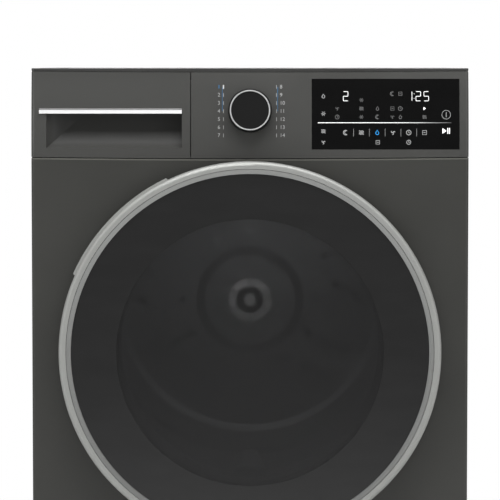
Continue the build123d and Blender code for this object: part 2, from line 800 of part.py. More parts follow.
# ================================================================ door
def door_ring():
    """Satin outer ring with a deep rim and the handle tab at its upper left."""
    profile = outline_face([
        (ring_inner, ring_front), (door_radius, ring_front), (door_radius, ring_rear),
        (door_radius - ring_wall, ring_rear),
        (door_radius - ring_wall, ring_front + ring_wall),
        (ring_inner, ring_front + ring_wall)])
    profile = fillet(profile.vertices().sort_by_distance((door_radius, ring_front, 0))[0], ring_nose)
    ring = Pos(0, 0, door_z) * revolve(profile, Axis.Y)
    tab_face = sector(door_radius - 2, door_radius + tab_height, grip_start, grip_end)
    tab_corners = tab_face.vertices().sort_by_distance((0, 0, 0))[-2:]
    tab_round = 0.8 * tab_height
    tab_face = fillet(tab_corners, tab_round)
    tab = along_y(tab_face, ring_front + ring_nose, ring_rear)
    return ring + Pos(0, 0, door_z) * tab


def door_trim_ring():
    """Inner ring that slopes down to the glass and holds it."""
    bore = glass_radius + 0.2
    over_glass = window_front - 0.9
    under_ring = ring_front + 0.4
    outline = [(bore, frame_front), (bore, over_glass), (trim_outer, under_ring),
               (trim_outer, frame_front)]
    return turned(outline, door_z)


def door_window():
    """Dark outer glass."""
    return rod(0, door_z, glass_radius, window_front, window_back)


def door_frame():
    """Moulded carrier of the ring, glass and bowl, hollowed for the hinge and the fingers."""
    rim_front = ring_front + ring_wall + seat_gap
    land = gasket_front - seat_gap
    bore = bowl_flange + seat_gap
    neck = ring_inner - seat_gap
    bowl_hole = bowl_radius + 1.0
    outline = [
        (bore, frame_front), (neck, frame_front), (neck, rim_front),
        (frame_radius, rim_front), (frame_radius, frame_back - frame_bevel),
        (frame_radius - frame_bevel, frame_back), (gasket_land, frame_back), (gasket_land, land),
        (bowl_hole, land), (bowl_hole, bowl_seat), (bore, bowl_seat)]
    body = turned(outline, door_z)
    arm_play = 0.7
    arm_slot = hinge_arm_height / 2 + arm_play
    swing_radius = 42.0
    pin_reach = hinge_arm_spread + 45.0
    for side in (-1, 1):
        middle = door_z + side * hinge_arm_spread
        body -= post(hinge_x, hinge_y, swing_radius, middle - arm_slot, middle + arm_slot)
    body -= post(hinge_x, hinge_y, hinge_pin_radius + press_gap, door_z - pin_reach, door_z + pin_reach)
    scoop_inner = frame_radius - 24.0
    scoop_front = frame_back - 22.0
    scoop_margin = 2.0
    scoop = sector(scoop_inner, door_radius + 9, grip_start + scoop_margin, grip_end - scoop_margin)
    body -= Pos(0, 0, door_z) * along_y(scoop, scoop_front, front_y)
    socket_play = 0.2
    socket_half = hook_half_width + socket_play
    socket_high = hook_half_height + socket_play
    return body - block(hook_x - socket_half, hook_x + socket_half, frame_back - hook_root, front_y,
                        door_z - socket_high, door_z + socket_high)


def door_bowl():
    """Shallow clear bowl that keeps the laundry off the outer glass."""
    floor_y = frame_back + bowl_depth
    inner_y = floor_y - bowl_wall
    rim_y = frame_front + 1.0
    profile = outline_face([
        (0, inner_y), (bowl_floor - 2 * bowl_wall, inner_y), (bowl_radius - 2 * bowl_wall, rim_y),
        (bowl_flange, rim_y), (bowl_flange, bowl_seat - seat_gap),
        (bowl_radius, bowl_seat - seat_gap), (bowl_floor, floor_y), (0, floor_y)])
    edge = profile.vertices().sort_by_distance((bowl_floor, floor_y, 0))[0]
    floor_round = 9.0
    return Pos(0, 0, door_z) * revolve(fillet(edge, floor_round), Axis.Y)


def door_hook():
    """Catch hook that reaches through the front panel."""
    tip_y = front_y + 14.0
    left = hook_x - hook_half_width
    right = hook_x + hook_half_width
    barb = right + 3.0
    root_y = frame_back - hook_root
    under_barb = tip_y - 7.0
    shank = left + 2.0
    outline = outline_face([
        (left, root_y), (right, root_y), (right, under_barb), (barb, tip_y - 5),
        (barb, tip_y - 3), (right - 3, tip_y), (shank, tip_y), (shank, frame_back),
        (left, frame_back)])
    return along_z(outline, door_z - hook_half_height, door_z + hook_half_height)


def door_catch():
    """Lock housing behind the front panel that the hook snaps into."""
    left = hook_x - 16.0
    right = hook_x + 18.0
    depth = 26.0
    tall_half = 24.0
    mouth_depth = 18.0
    mouth_half = hook_half_height + 2.0
    body = block(left, right, front_y + sheet, front_y + depth, door_z - tall_half, door_z + tall_half)
    body = fillet(body.edges().filter_by(Axis.Y), 4.0)
    return body - block(left + 10, right - 8, front_y - flange, front_y + mouth_depth,
                        door_z - mouth_half, door_z + mouth_half)


def hinge_bracket():
    """Steel hinge on the front panel: two swan-neck arms reach into the door."""
    plate_right = hinge_x - hinge_inset
    plate_left = plate_right - hinge_plate_width
    half_height = hinge_plate_height / 2
    arm = hinge_arm_width
    leg_inset = 7.0
    leg_x = plate_left + leg_inset
    neck_round = 0.8 * arm
    plate = block(plate_left, plate_right, front_y - hinge_plate_thickness, front_y,
                  door_z - half_height, door_z + half_height)
    plate = fillet(plate.edges().filter_by(Axis.Y), 4.0)
    for side in (-1, 1):
        z0 = door_z + side * hinge_arm_spread - hinge_arm_height / 2
        z1 = z0 + hinge_arm_height
        neck = block(leg_x - arm / 2, leg_x + arm / 2, hinge_y - arm / 2, front_y - 0.5, z0, z1)
        neck += block(leg_x - arm / 2, hinge_x, hinge_y - arm / 2, hinge_y + arm / 2, z0, z1)
        outer_corner = neck.edges().filter_by(Axis.Z).sort_by_distance(
            (leg_x - arm / 2, hinge_y - arm / 2, door_z))[0]
        neck = fillet(outer_corner, neck_round)
        plate += neck + post(hinge_x, hinge_y, hinge_eye_radius, z0, z1)
    return plate - post(hinge_x, hinge_y, hinge_pin_radius + running_clearance,
                        door_z - half_height, door_z + half_height)


def door_hinge_pins():
    """Steel pin through the door frame and both hinge arms."""
    reach = hinge_arm_spread + hinge_arm_height / 2 + 10.0
    return post(hinge_x, hinge_y, hinge_pin_radius, door_z - reach, door_z + reach)


# ================================================================ front bulkhead and lint filter
def front_bulkhead():
    """Moulded wall between door and drum: mouth tunnel, drum seat and lint filter pocket."""
    side_gap = 12.0
    top_gap = 16.0
    plate_corner = 20.0
    half = half_width - side_gap
    wall = pocket_wall
    seat_radius = collar_radius - 8.0
    plate = block(-half, half, bulkhead_front, bulkhead_back, bulkhead_low, seam_z - top_gap)
    plate = fillet(plate.edges().filter_by(Axis.Y), plate_corner)
    tunnel_front = gasket_front + 6.0
    plate += rod(0, door_z, mouth_radius + wall, tunnel_front, drum_front)
    plate += rod(0, door_z, gasket_outer, tunnel_front, tunnel_front + wall)
    seat_face = drum_front - 1.5
    plate += rod(0, drum_z, seat_radius, bulkhead_front, seat_face)
    plate += rod(0, drum_z, seat_radius, seat_face - 1, drum_front + flange + 4)
    plate -= rod(0, drum_z, seat_radius - seat_wall, seat_face, drum_front + 2 * flange)
    reach = filter_half_width + pocket_clearance
    pocket_top = door_z - math.sqrt(mouth_radius ** 2 - (reach + wall) ** 2)
    plate += block(-reach - wall, reach + wall, pocket_front - wall, bulkhead_front + 1,
                   bulkhead_low + 5, pocket_top)
    plate -= rod(0, door_z, mouth_radius, tunnel_front - flange, drum_front + 2 * flange)
    plate -= block(-reach, reach, pocket_front, pocket_back, filter_low - seat_gap, door_z)
    outlet_right = tunnel_x - 6.0
    plate -= block(-reach, outlet_right, pocket_front, pocket_back, bulkhead_low - flange, filter_low)
    for x, z in roller_centres():
        plate += rod(x, z, roller_boss_radius, bulkhead_back - 1, drum_front + 2)
        plate += rod(x, z, roller_pin_radius, drum_front, roller_back + 2)
    return plate


def roller_centres():
    """Places of the two rollers that carry the drum's front edge."""
    reach = drum_radius + belt_clearance + roller_radius
    angle = math.radians(roller_angle)
    return [(side * reach * math.sin(angle), drum_z - reach * math.cos(angle)) for side in (-1, 1)]


def roller(side):
    """Plastic roller with a soft tread, on its moulded pin."""
    x, z = roller_centres()[0 if side < 0 else 1]
    bore = roller_pin_radius + running_clearance
    waist = roller_radius - 6.0
    tread_back = roller_front + roller_tread
    outline = [(bore, roller_front), (roller_radius, roller_front), (roller_radius, tread_back),
               (waist, tread_back), (bore + 3, roller_back), (bore, roller_back)]
    return turned(outline, z, x)


def lint_filter():
    """Hollow filter cassette with barred windows, an intake grille and a grip on top."""
    wall = filter_wall
    top = door_z - mouth_radius + 3.0
    y0 = filter_front
    y1 = filter_back
    middle = (y0 + y1) / 2
    above_mouth = top + 40.0
    body = block(-filter_half_width, filter_half_width, y0, y1, filter_low, above_mouth)
    body -= block(-filter_half_width + wall, filter_half_width - wall, y0 + wall, y1 - wall,
                  filter_low + wall, top - 2 * wall)
    body -= rod(0, door_z, mouth_radius, y0 - flange, y1 + flange)
    window = Rectangle(filter_window_width, filter_window_height)
    first_row = filter_low + 30.0
    row_pitch = filter_window_height + 6.0
    for column in (-1, 0, 1):
        for row in (0, 1):
            x = column * (filter_window_width + filter_bar)
            z = first_row + row * row_pitch
            body -= along_y(Pos(x, z) * window, y0 - 1, y1 + 1)
    slot_pitch = filter_half_width / 8
    slot_half = 3.0
    for column in range(-5, 6):
        x = column * slot_pitch
        body -= block(x - slot_half, x + slot_half, y0 + filter_bar, y1 - filter_bar, top - 10, door_z)
    grip_rise = 9.0
    grip = block(-filter_grip_width / 2, filter_grip_width / 2, middle - wall, middle + wall,
                 top - 6, top + grip_rise)
    return body + fillet(grip.edges().filter_by(Axis.Y).group_by(Axis.Z)[-1], 6.0)


def door_gasket():
    """Soft lip seal between the door's back and the mouth."""
    back = front_y
    outline = [(gasket_inner, back), (gasket_inner, gasket_front + 2), (gasket_inner + 3, gasket_front),
               (gasket_outer - 3, gasket_front), (gasket_outer, gasket_front + 3), (gasket_outer, back)]
    return turned(outline, door_z)


def front_drum_seal():
    """Felt ring that the drum's front collar slides on."""
    inner = collar_radius - 8.0
    outer = collar_radius - seat_gap
    y0 = drum_front + 0.5
    y1 = drum_front + collar_length
    return turned([(inner, y0), (outer, y0), (outer, y1), (inner, y1)], drum_z)


def rear_drum_seal():
    """Felt ring between the drum's back and the rear panel."""
    outer = drum_radius - 10.0
    inner = outer - felt_width
    return turned([(inner, drum_back_y + seat_gap), (outer, drum_back_y + seat_gap),
                   (outer, rear_y - sheet), (inner, rear_y - sheet)], drum_z)


# ================================================================ drum
def drum_shell():
    """Rolled shell with its front ring and the collar that runs on the felt."""
    inside = drum_radius - drum_sheet
    collar_end = drum_front + collar_length
    outline = [
        (drum_radius, drum_front), (drum_radius, drum_back_y), (inside, drum_back_y),
        (inside, drum_front + drum_sheet), (collar_radius + drum_sheet, drum_front + drum_sheet),
        (collar_radius + drum_sheet, collar_end), (collar_radius, collar_end),
        (collar_radius, drum_front)]
    return turned(outline, drum_z)


def drum_back():
    """Back of the drum with a raised bead and rings of air slots."""
    inside = drum_radius - drum_sheet
    hub_bead = 2 * hub_radius
    field_in = hub_bead + flange
    plain_rim = 87.0
    bead_width = 26.0
    field_out = inside - plain_rim
    bead_in = field_out + bead_slope
    bead_out = bead_in + bead_width
    rim_in = bead_out + bead_slope
    bore = shaft_radius + running_clearance
    y0 = drum_back_y
    y1 = y0 - drum_sheet
    outline = [
        (bore, y0), (bore, y1 - back_bead), (hub_bead, y1 - back_bead), (field_in, y1),
        (field_out, y1), (bead_in, y1 - back_bead), (bead_out, y1 - back_bead), (rim_in, y1),
        (inside, y1), (inside, y0), (rim_in, y0), (bead_out - 1, y0 - back_bead),
        (bead_in + 1, y0 - back_bead), (field_out + 1, y0), (field_in, y0),
        (hub_bead, y0 - back_bead), (bore + 4, y0 - back_bead), (bore + 4, y0)]
    back = turned(outline, drum_z)
    hole = along_y(RegularPolygon(air_hole_radius, 8), y0 - flange, y0 + flange)
    ring_pitch = (field_out - field_in) / 3.7
    for ring, count in enumerate((12, 18, 24)):
        radius = field_in + (ring + 0.7) * ring_pitch
        back -= around(Pos(0, 0, drum_z + radius) * hole, count, drum_z)
    return back


def drum_paddles():
    """Three hollow-looking lifters that carry the laundry round, tapered at both ends."""
    front_gap = 18.0
    back_gap = 12.0
    front_taper = 60.0
    back_taper = 26.0
    crest_round = 9.0
    y0 = drum_front + front_gap
    y1 = drum_back_y - back_gap
    base = drum_radius - drum_sheet - seat_gap
    crest = base - paddle_height
    root = -base - 6
    section = outline_face([(-paddle_foot, root), (-paddle_crest, -crest),
                            (paddle_crest, -crest), (paddle_foot, root)])
    section = fillet(section.vertices().group_by(Axis.Y)[-1], crest_round)
    ridge = along_y(section, y0, y1)
    front_toe = (y0 + 8, -crest - 16)
    back_toe = (y1 - 4, -crest - 14)
    taper = along_x(outline_face([(y0, root), front_toe, (y0 + front_taper, -crest + 2),
                                  (y1 - back_taper, -crest + 2), back_toe, (y1, root)]),
                    -2 * paddle_foot, 2 * paddle_foot)
    ridge = ridge & taper & rod(0, 0, base, y0 - flange, y1 + flange)
    foot_in = paddle_foot - 1.5 * paddle_wall
    crest_in = paddle_crest - paddle_wall / 2
    hollow = outline_face([(-foot_in, -base - 8), (-crest_in, -crest - paddle_wall),
                           (crest_in, -crest - paddle_wall), (foot_in, -base - 8)])
    ridge -= along_y(hollow, y0 + front_taper + 2, y1 - back_taper - 2)
    return around(Pos(0, 0, drum_z) * ridge, 3, drum_z)


def drum_shaft():
    """Hub plate riveted to the drum's back, with the shaft that turns in the rear bearing."""
    hub_face = drum_back_y - drum_sheet - back_bead
    plate = hub_face - hub_thickness
    cap = 11.0
    ring = 21.0
    shaft_end = rear_y + flange
    outline = [(0, plate - 5), (cap - 3, plate - 5), (cap, plate - 3), (cap, plate),
               (ring - 2, plate), (ring, plate + 1.5), (ring + 2, plate), (hub_radius - 1, plate),
               (hub_radius, plate + 1), (hub_radius, hub_face - bond_gap),
               (shaft_radius, hub_face - bond_gap), (shaft_radius, shaft_end), (0, shaft_end)]
    hub = turned(outline, drum_z)
    hole = rod(0, drum_z + 0.8 * hub_radius, hub_hole_radius, plate - 1, hub_face + 1)
    return hub - around(hole, 6, drum_z)


# ================================================================ belt drive and fan
def belt_path(offset):
    """Closed line of the belt, offset outwards from the surfaces it wraps.

    Each pulley has a signed radius: positive where the belt wraps it from the left-hand side
    of its travel, negative for the idler, which presses on the belt's back. The straight run
    between two pulleys leaves both at the angle where their signed radii fit one normal.
    """
    gap = belt_clearance
    back = -(idler_radius + gap + belt_thickness)
    pulleys = [(0.0, drum_z, drum_radius + gap + offset),
               (idler_x, idler_z, back + offset),
               (motor_x, motor_z, pulley_radius + gap + offset)]
    normals = []
    for here, there in zip(pulleys, pulleys[1:] + pulleys[:1]):
        dx = there[0] - here[0]
        dz = there[1] - here[1]
        spread = math.acos((there[2] - here[2]) / math.hypot(dx, dz))
        normals.append(math.atan2(dz, dx) + spread)
    edges = []
    for index, (x, z, radius) in enumerate(pulleys):
        arrive = normals[index - 1]
        leave = normals[index]
        turn = (leave - arrive) % (2 * math.pi)
        if radius < 0:
            turn -= 2 * math.pi
        points = [(x - radius * math.cos(a), z - radius * math.sin(a))
                  for a in (arrive, arrive + turn / 2, arrive + turn)]
        edges.append(ThreePointArc(*points))
        ahead = pulleys[(index + 1) % len(pulleys)]
        edges.append(Line(points[-1], (ahead[0] - ahead[2] * math.cos(leave),
                                       ahead[1] - ahead[2] * math.sin(leave))))
    return make_face(edges)


def drive_belt():
    """Ribbed belt round the drum, over the idler's top and round the motor's pulley."""
    face = belt_path(belt_thickness) - belt_path(0)
    return along_y(face, belt_y - belt_width / 2, belt_y + belt_width / 2)


def motor():
    """Drive motor in its saddle on the base."""
    body = rod(motor_x, motor_z, motor_radius, motor_front + motor_shield, motor_back - motor_shield)
    end_radius = motor_radius - 9.0
    saddle_half = 40.0
    saddle_width = 12.0
    saddle_top = motor_z - 20.0
    body += rod(motor_x, motor_z, end_radius, motor_front, motor_back)
    body = chamfer(body.edges().filter_by(GeomType.CIRCLE).group_by(Axis.Y)[0], 3.0)
    for y in (motor_front + 22, motor_back - 34):
        body += block(motor_x - saddle_half, motor_x + saddle_half, y, y + saddle_width,
                      tray_floor, saddle_top)
    return body - rod(motor_x, motor_z, motor_shaft_radius + running_clearance,
                      motor_front - flange, motor_back + flange)


def motor_shaft():
    """Steel shaft with the ribbed pulley turned on its front end."""
    shaft = rod(motor_x, motor_z, motor_shaft_radius, belt_y - 8, fan_back - 4)
    ribbed = [(0.0, belt_y - 6)]
    pitch = belt_width / pulley_ribs
    rib_depth = 0.8
    collar_end = belt_y + 7.0
    for rib in range(pulley_ribs):
        y = belt_y - belt_width / 2 + rib * pitch
        ribbed += [(pulley_radius, y), (pulley_radius - rib_depth, y + pitch / 2)]
    ribbed += [(pulley_radius, belt_y + belt_width / 2), (pulley_radius + 2, belt_y + 5.5),
               (pulley_radius + 2, collar_end), (0.0, collar_end)]
    return shaft + turned(ribbed, motor_z, motor_x)


def fan_impeller():
    """Backward-curved fan on the rear end of the motor shaft."""
    hub = fan_hub_radius
    disc = 2.0
    wheel = rod(motor_x, motor_z, fan_radius, fan_back - disc, fan_back)
    wheel += rod(motor_x, motor_z, hub, fan_front + 6, fan_back)
    tip_x = 0.86 * fan_radius
    tip_y = 0.48 * fan_radius
    belly_x = 0.6 * fan_radius
    belly_y = 12.0
    arc_in = ThreePointArc((hub - 1, 0), (belly_x, belly_y), (tip_x, tip_y))
    arc_out = ThreePointArc((tip_x - 2, tip_y + 1), (belly_x - 1.2, belly_y + 2), (hub - 1, 2.0))
    blade_face = make_face([arc_in, Line(arc_in @ 1, arc_out @ 0), arc_out, Line(arc_out @ 1, arc_in @ 0)])
    blade = Pos(motor_x, 0, motor_z) * along_y(blade_face, fan_front, fan_back - disc / 2)
    wheel += around(blade, fan_blades, motor_z, motor_x)
    return wheel - rod(motor_x, motor_z, motor_shaft_radius + press_gap, fan_front - flange,
                       fan_back + flange)


def fan_housing():
    """Upper shell of the base: roof over the heat exchangers, plenum and fan volute."""
    left = -half_width + 9.0
    roof = block(left, tunnel_x + moulding, tray_front + 4, tray_back - 3, tray_top, tunnel_top)
    roof -= block(left + moulding, tunnel_x, tray_front + 4 + moulding, tray_back - 3 - moulding,
                  tray_top - flange, tunnel_top - moulding)
    roof -= block(-filter_half_width - pocket_clearance, tunnel_x - 6, pocket_front, pocket_back,
                  tunnel_top - flange, tunnel_top + flange)
    plenum_right = motor_x + 45.0
    plenum_low = tray_top + tray_wall
    plenum = block(tunnel_x, plenum_right, plenum_front, volute_front, plenum_low, tunnel_top)
    plenum -= block(tunnel_x - flange, plenum_right - moulding, plenum_front + moulding,
                    volute_front - moulding, plenum_low + moulding, tunnel_top - moulding)
    volute = rod(motor_x, motor_z, volute_radius, volute_front - moulding, rear_y - sheet)
    volute -= rod(motor_x, motor_z, volute_radius - moulding, volute_front, rear_y + flange)
    shell = roof + plenum + volute
    inlet_radius = 26.0
    shell -= rod(motor_x, motor_z, inlet_radius, volute_front - 2 * moulding, fan_front)
    shell -= rod(motor_x, motor_z, motor_shaft_radius + 2, plenum_front - flange, fan_front)
    for x, y, z in pipe_ports():
        shell -= bar(y, z, pipe_radius + 1.0, tunnel_x - flange, tunnel_x + flange)
    return shell


def idler_pulley():
    """Smooth idler that keeps the belt tight."""
    bore = arm_pin_radius + running_clearance
    y0 = belt_y - belt_width / 2 - 0.5
    y1 = belt_y + belt_width / 2 + 0.5
    outline = [(bore, y0), (idler_radius, y0), (idler_radius, y1), (bore, y1)]
    return turned(outline, idler_z, idler_x)


def tension_arm():
    """Sprung arm from the pivot on the base to the idler."""
    reach_x = idler_x - arm_pivot_x
    reach_z = idler_z - arm_pivot_z
    pivot_eye = Circle(10.0)
    idler_eye = Pos(reach_x, reach_z) * Circle(7.0)
    plate = make_hull(pivot_eye.edges() + idler_eye.edges())
    arm = Pos(arm_pivot_x, 0, arm_pivot_z) * along_y(plate, arm_front, arm_back)
    arm += rod(idler_x, idler_z, arm_pin_radius, arm_front + 1, belt_y + belt_width / 2 + 1.5)
    return arm - rod(arm_pivot_x, arm_pivot_z, arm_pivot_radius + running_clearance,
                     arm_front - flange, arm_back + flange)


# ================================================================ base
def base_tray():
    """Moulded floor pan with the tunnel wall, foot sockets and the tensioner's post."""
    side = tray_side
    floor = tray_floor
    tray = block(-side, side, tray_front, tray_back, foot_gap, tray_top)
    tray -= block(-side + tray_wall, side - tray_wall, tray_front + tray_wall,
                  tray_back - tray_wall, floor, tray_top + flange)
    tray += block(tunnel_x, tunnel_x + tray_wall, tray_front + 1, tray_back - 1, floor - 1, tray_top)
    hatch_left = -side + 26.0
    hatch_right = tunnel_x - 9.0
    socket_top = foot_gap + 34.0
    tray -= block(hatch_left, hatch_right, tray_front - 1, tray_front + tray_wall + 1,
                  exchanger_low, tray_top - 6)
    for x, y in foot_places():
        tray += post(x, y, socket_radius, foot_gap, socket_top)
        tray -= post(x, y, stud_radius + running_clearance, foot_gap - 1, socket_top - 4)
    tray -= rod(motor_x, motor_z, volute_radius + seat_gap, tray_back - 2 * tray_wall, rear_y)
    y0 = arm_front - 8.0
    tray += block(arm_pivot_x - 8, arm_pivot_x + 8, y0 - 10, y0 + 5, floor - 1, arm_pivot_z + 8)
    tray += rod(arm_pivot_x, arm_pivot_z, arm_pivot_radius, y0 + 2, arm_back + 1)
    return tray


def foot_places():
    """The four corners where the feet screw into the base."""
    return [(x, y) for y in (foot_front_y, foot_rear_y) for x in (-foot_x, foot_x)]


def foot(x, y):
    """Screw foot with a rubber-shod pad and a hexagon to turn it by."""
    pad = foot_pad_height
    stud_top = foot_gap + 26.0
    bevel = 1.5
    outline = [(0, 0), (foot_pad_radius - bevel, 0), (foot_pad_radius, bevel), (foot_pad_radius, pad - 2),
               (foot_pad_radius - 3, pad), (stud_radius, pad), (stud_radius, stud_top), (0, stud_top)]
    hexagon = Pos(x, y, pad - 0.5) * extrude(RegularPolygon(foot_hexagon_radius, 6),
                                             foot_gap - pad)
    return turned_upright(outline, x, y) + hexagon


def heat_exchanger_cover():
    """Plug-in cover of the heat exchanger, with the bore of its turn lock."""
    left = -half_width + 22.0
    right = tunnel_x - 4.0
    low = exchanger_low - 4
    high = tray_top - 2
    cover = block(left, right, tray_front - 3, tray_front, low, high)
    cover = fillet(cover.edges().filter_by(Axis.Y), 6.0)
    plug_left = -tray_side + 27.0
    plug_right = tunnel_x - 10.0
    plug_top = tray_top - 7.0
    cover += block(plug_left, plug_right, tray_front - 1, tray_front + tray_wall + 3,
                   exchanger_low + 1, plug_top)
    return cover - rod(lock_x, lock_z, lock_radius + running_clearance, tray_front - flange,
                       tray_front + flange)


def cover_lock():
    """Quarter-turn lock lever of the cover."""
    y0 = tray_front - 3.0
    reach = lock_lever_length / 2
    lever_front = y0 - 7.0
    lever_back = y0 - 0.4
    end_round = 5.5
    lever = block(lock_x - lock_lever_width / 2, lock_x + lock_lever_width / 2, lever_front,
                  lever_back, lock_z - reach, lock_z + reach)
    lever = fillet(lever.edges().filter_by(Axis.Y), end_round)
    return lever + rod(lock_x, lock_z, lock_radius, y0 - 2, tray_front + tray_wall + 5)


def finned_block(y0):
    """Tube-and-fin heat exchanger across the tunnel, with end plates and edge fins."""
    y1 = y0 + exchanger_length
    left = -foot_x + 16.0
    right = tunnel_x - 3.0
    low = tray_floor + 4
    high = tunnel_top - 6
    core = block(left + 6, right - 6, y0 + 6, y1 - 6, low + 4, high - 4)
    count = int((right - left) / fin_pitch)
    for index in range(count + 1):
        x = left + index * (right - left - fin_thickness) / count
        core += block(x, x + fin_thickness, y0, y1, low, high)
    sill = 12.0
    return core + block(left, right, y0 + sill, y1 - sill, tray_floor, low + 5)


def evaporator():
    """Cold heat exchanger, behind the service cover."""
    return finned_block(evaporator_front)


def condenser():
    """Hot heat exchanger, behind the evaporator."""
    return finned_block(condenser_front)


def compressor():
    """Hermetic compressor on its foot plate."""
    r = compressor_radius
    top = compressor_top
    floor = tray_floor
    foot_height = 12.0
    bottom = floor + foot_height
    weld = bottom + 10.0
    shoulder = top - 32.0
    dome = [(r - 5, top - 18), (r - 18, top - 7), (r - 34, top - 2), (0, top)]
    shell = turned_upright([(0, bottom), (r - 10, bottom), (r, weld), (r, shoulder)] + dome,
                           compressor_x, compressor_y)
    plate_reach = r + 18.0
    plate = extrude(RegularPolygon(plate_reach, 3), 4)
    shell += Pos(compressor_x, compressor_y, floor + 10) * plate
    for turn in range(3):
        angle = math.radians(120 * turn)
        x = compressor_x + (r + 2) * math.cos(angle)
        y = compressor_y + (r + 2) * math.sin(angle)
        shell += post(x, y, compressor_foot_radius, floor, bottom)
    bottle_low = floor + 30.0
    neck_low = floor + 50.0
    neck_high = neck_low + 16.0
    bottle = post(bottle_x, bottle_y, bottle_radius, bottle_low, bottle_top)
    neck = block(bottle_x - 15, bottle_x + 5, bottle_y, compressor_y - 25, neck_low, neck_high)
    return shell + bottle + neck


def pipe_ports():
    """Where the two pipes pass through the tunnel's wall."""
    port_inset = 20.0
    port_z = tunnel_top - 32.0
    return [(tunnel_x, evaporator_front + exchanger_length - port_inset, port_z),
            (tunnel_x, condenser_front + port_inset, port_z)]


def refrigerant_pipes():
    """Suction pipe from the evaporator and discharge pipe to the condenser."""
    (_, suction_y, port_z), (_, discharge_y, _) = pipe_ports()
    end_x = tunnel_x - 3.0
    rise_x = compressor_x - 2 * compressor_radius
    over = bottle_top + 22.0
    joint_z = bottle_top - 10.0
    shell_left = compressor_x - compressor_radius
    suction = [(end_x, suction_y, port_z), (rise_x, suction_y, port_z), (rise_x, bottle_y, over),
               (bottle_x, bottle_y, over), (bottle_x, bottle_y, bottle_top)]
    drop_x = rise_x - 20.0
    joint_x = shell_left - 0.16
    discharge = [(end_x, discharge_y, port_z), (drop_x, discharge_y, port_z),
                 (drop_x, compressor_y, joint_z), (joint_x, compressor_y, joint_z)]
    pipes = []
    for route in (suction, discharge):
        path = FilletPolyline(*route, radius=pipe_bend)
        start = Plane(route[0], z_dir=(1, 0, 0))
        pipes.append(sweep(start * Circle(pipe_radius), path=path))
    return pipes


def condensate_pump():
    """Small pump in the base's rear sump."""
    body_top = tray_floor + pump_height
    y1 = tray_back - tray_wall - 4
    body = block(pump_x - pump_width / 2, pump_x + pump_width / 2, y1 - pump_length, y1,
                 tray_floor, body_top)
    body = fillet(body.edges().filter_by(Axis.Z), 6.0)
    head = post(pump_x, pump_y, pump_head_radius, body_top - 1, body_top + pump_head_height)
    outlet = post(hose_x, hose_y, pump_outlet_radius, body_top - 1,
                  body_top + pump_outlet_length)
    return body + head + outlet


def condensate_hose():
    """Hose from the pump, up the left rear corner to the tank bay's underside."""
    side_x = -half_width + 9.0
    rear = hose_y + 10.0
    drop_x = tank_left + filler_radius
    start_z = tray_floor + pump_height + pump_outlet_length
    bay_low = tank_low - bay_clearance - tank_wall
    over_tunnel = tunnel_top + 20.0
    cross_x = lock_x + 15.0
    cross_z = over_tunnel + 8.0
    climb_end = bay_low - 150.0
    under_bay = bay_low - 64.0
    route = [(hose_x, hose_y, start_z), (hose_x, hose_y, over_tunnel),
             (cross_x, rear, cross_z), (side_x, rear, 1.5 * base_height),
             (side_x, rear, climb_end), (drop_x, rear, under_bay), (drop_x, rear, bay_low)]
    path = FilletPolyline(*route, radius=hose_bend)
    return sweep(Plane(route[0], z_dir=(0, 0, 1)) * Circle(hose_radius), path=path)


def drain_spigot():
    """Elbowless drain connection on the rear panel, for a fixed waste pipe."""
    end = rear_y + spigot_length
    base = rod(spigot_x, spigot_z, spigot_plate_radius, rear_y, rear_y + 3)
    tube = rod(spigot_x, spigot_z, spigot_radius, rear_y, end)
    return base + tube - rod(spigot_x, spigot_z, spigot_radius - spigot_wall, rear_y + 3, end + 1)


def mains_inlet():
    """Bare cable gland for the mains supply."""
    wide_half = 16.0
    tall_half = 12.0
    plate = block(mains_x - wide_half, mains_x + wide_half, rear_y, rear_y + moulding,
                  mains_z - tall_half, mains_z + tall_half)
    plate = fillet(plate.edges().filter_by(Axis.Y), 3.0)
    collar = rod(mains_x, mains_z, gland_radius, rear_y + 1, rear_y + 12)
    return plate + collar - rod(mains_x, mains_z, gland_bore, rear_y + 1, rear_y + flange)


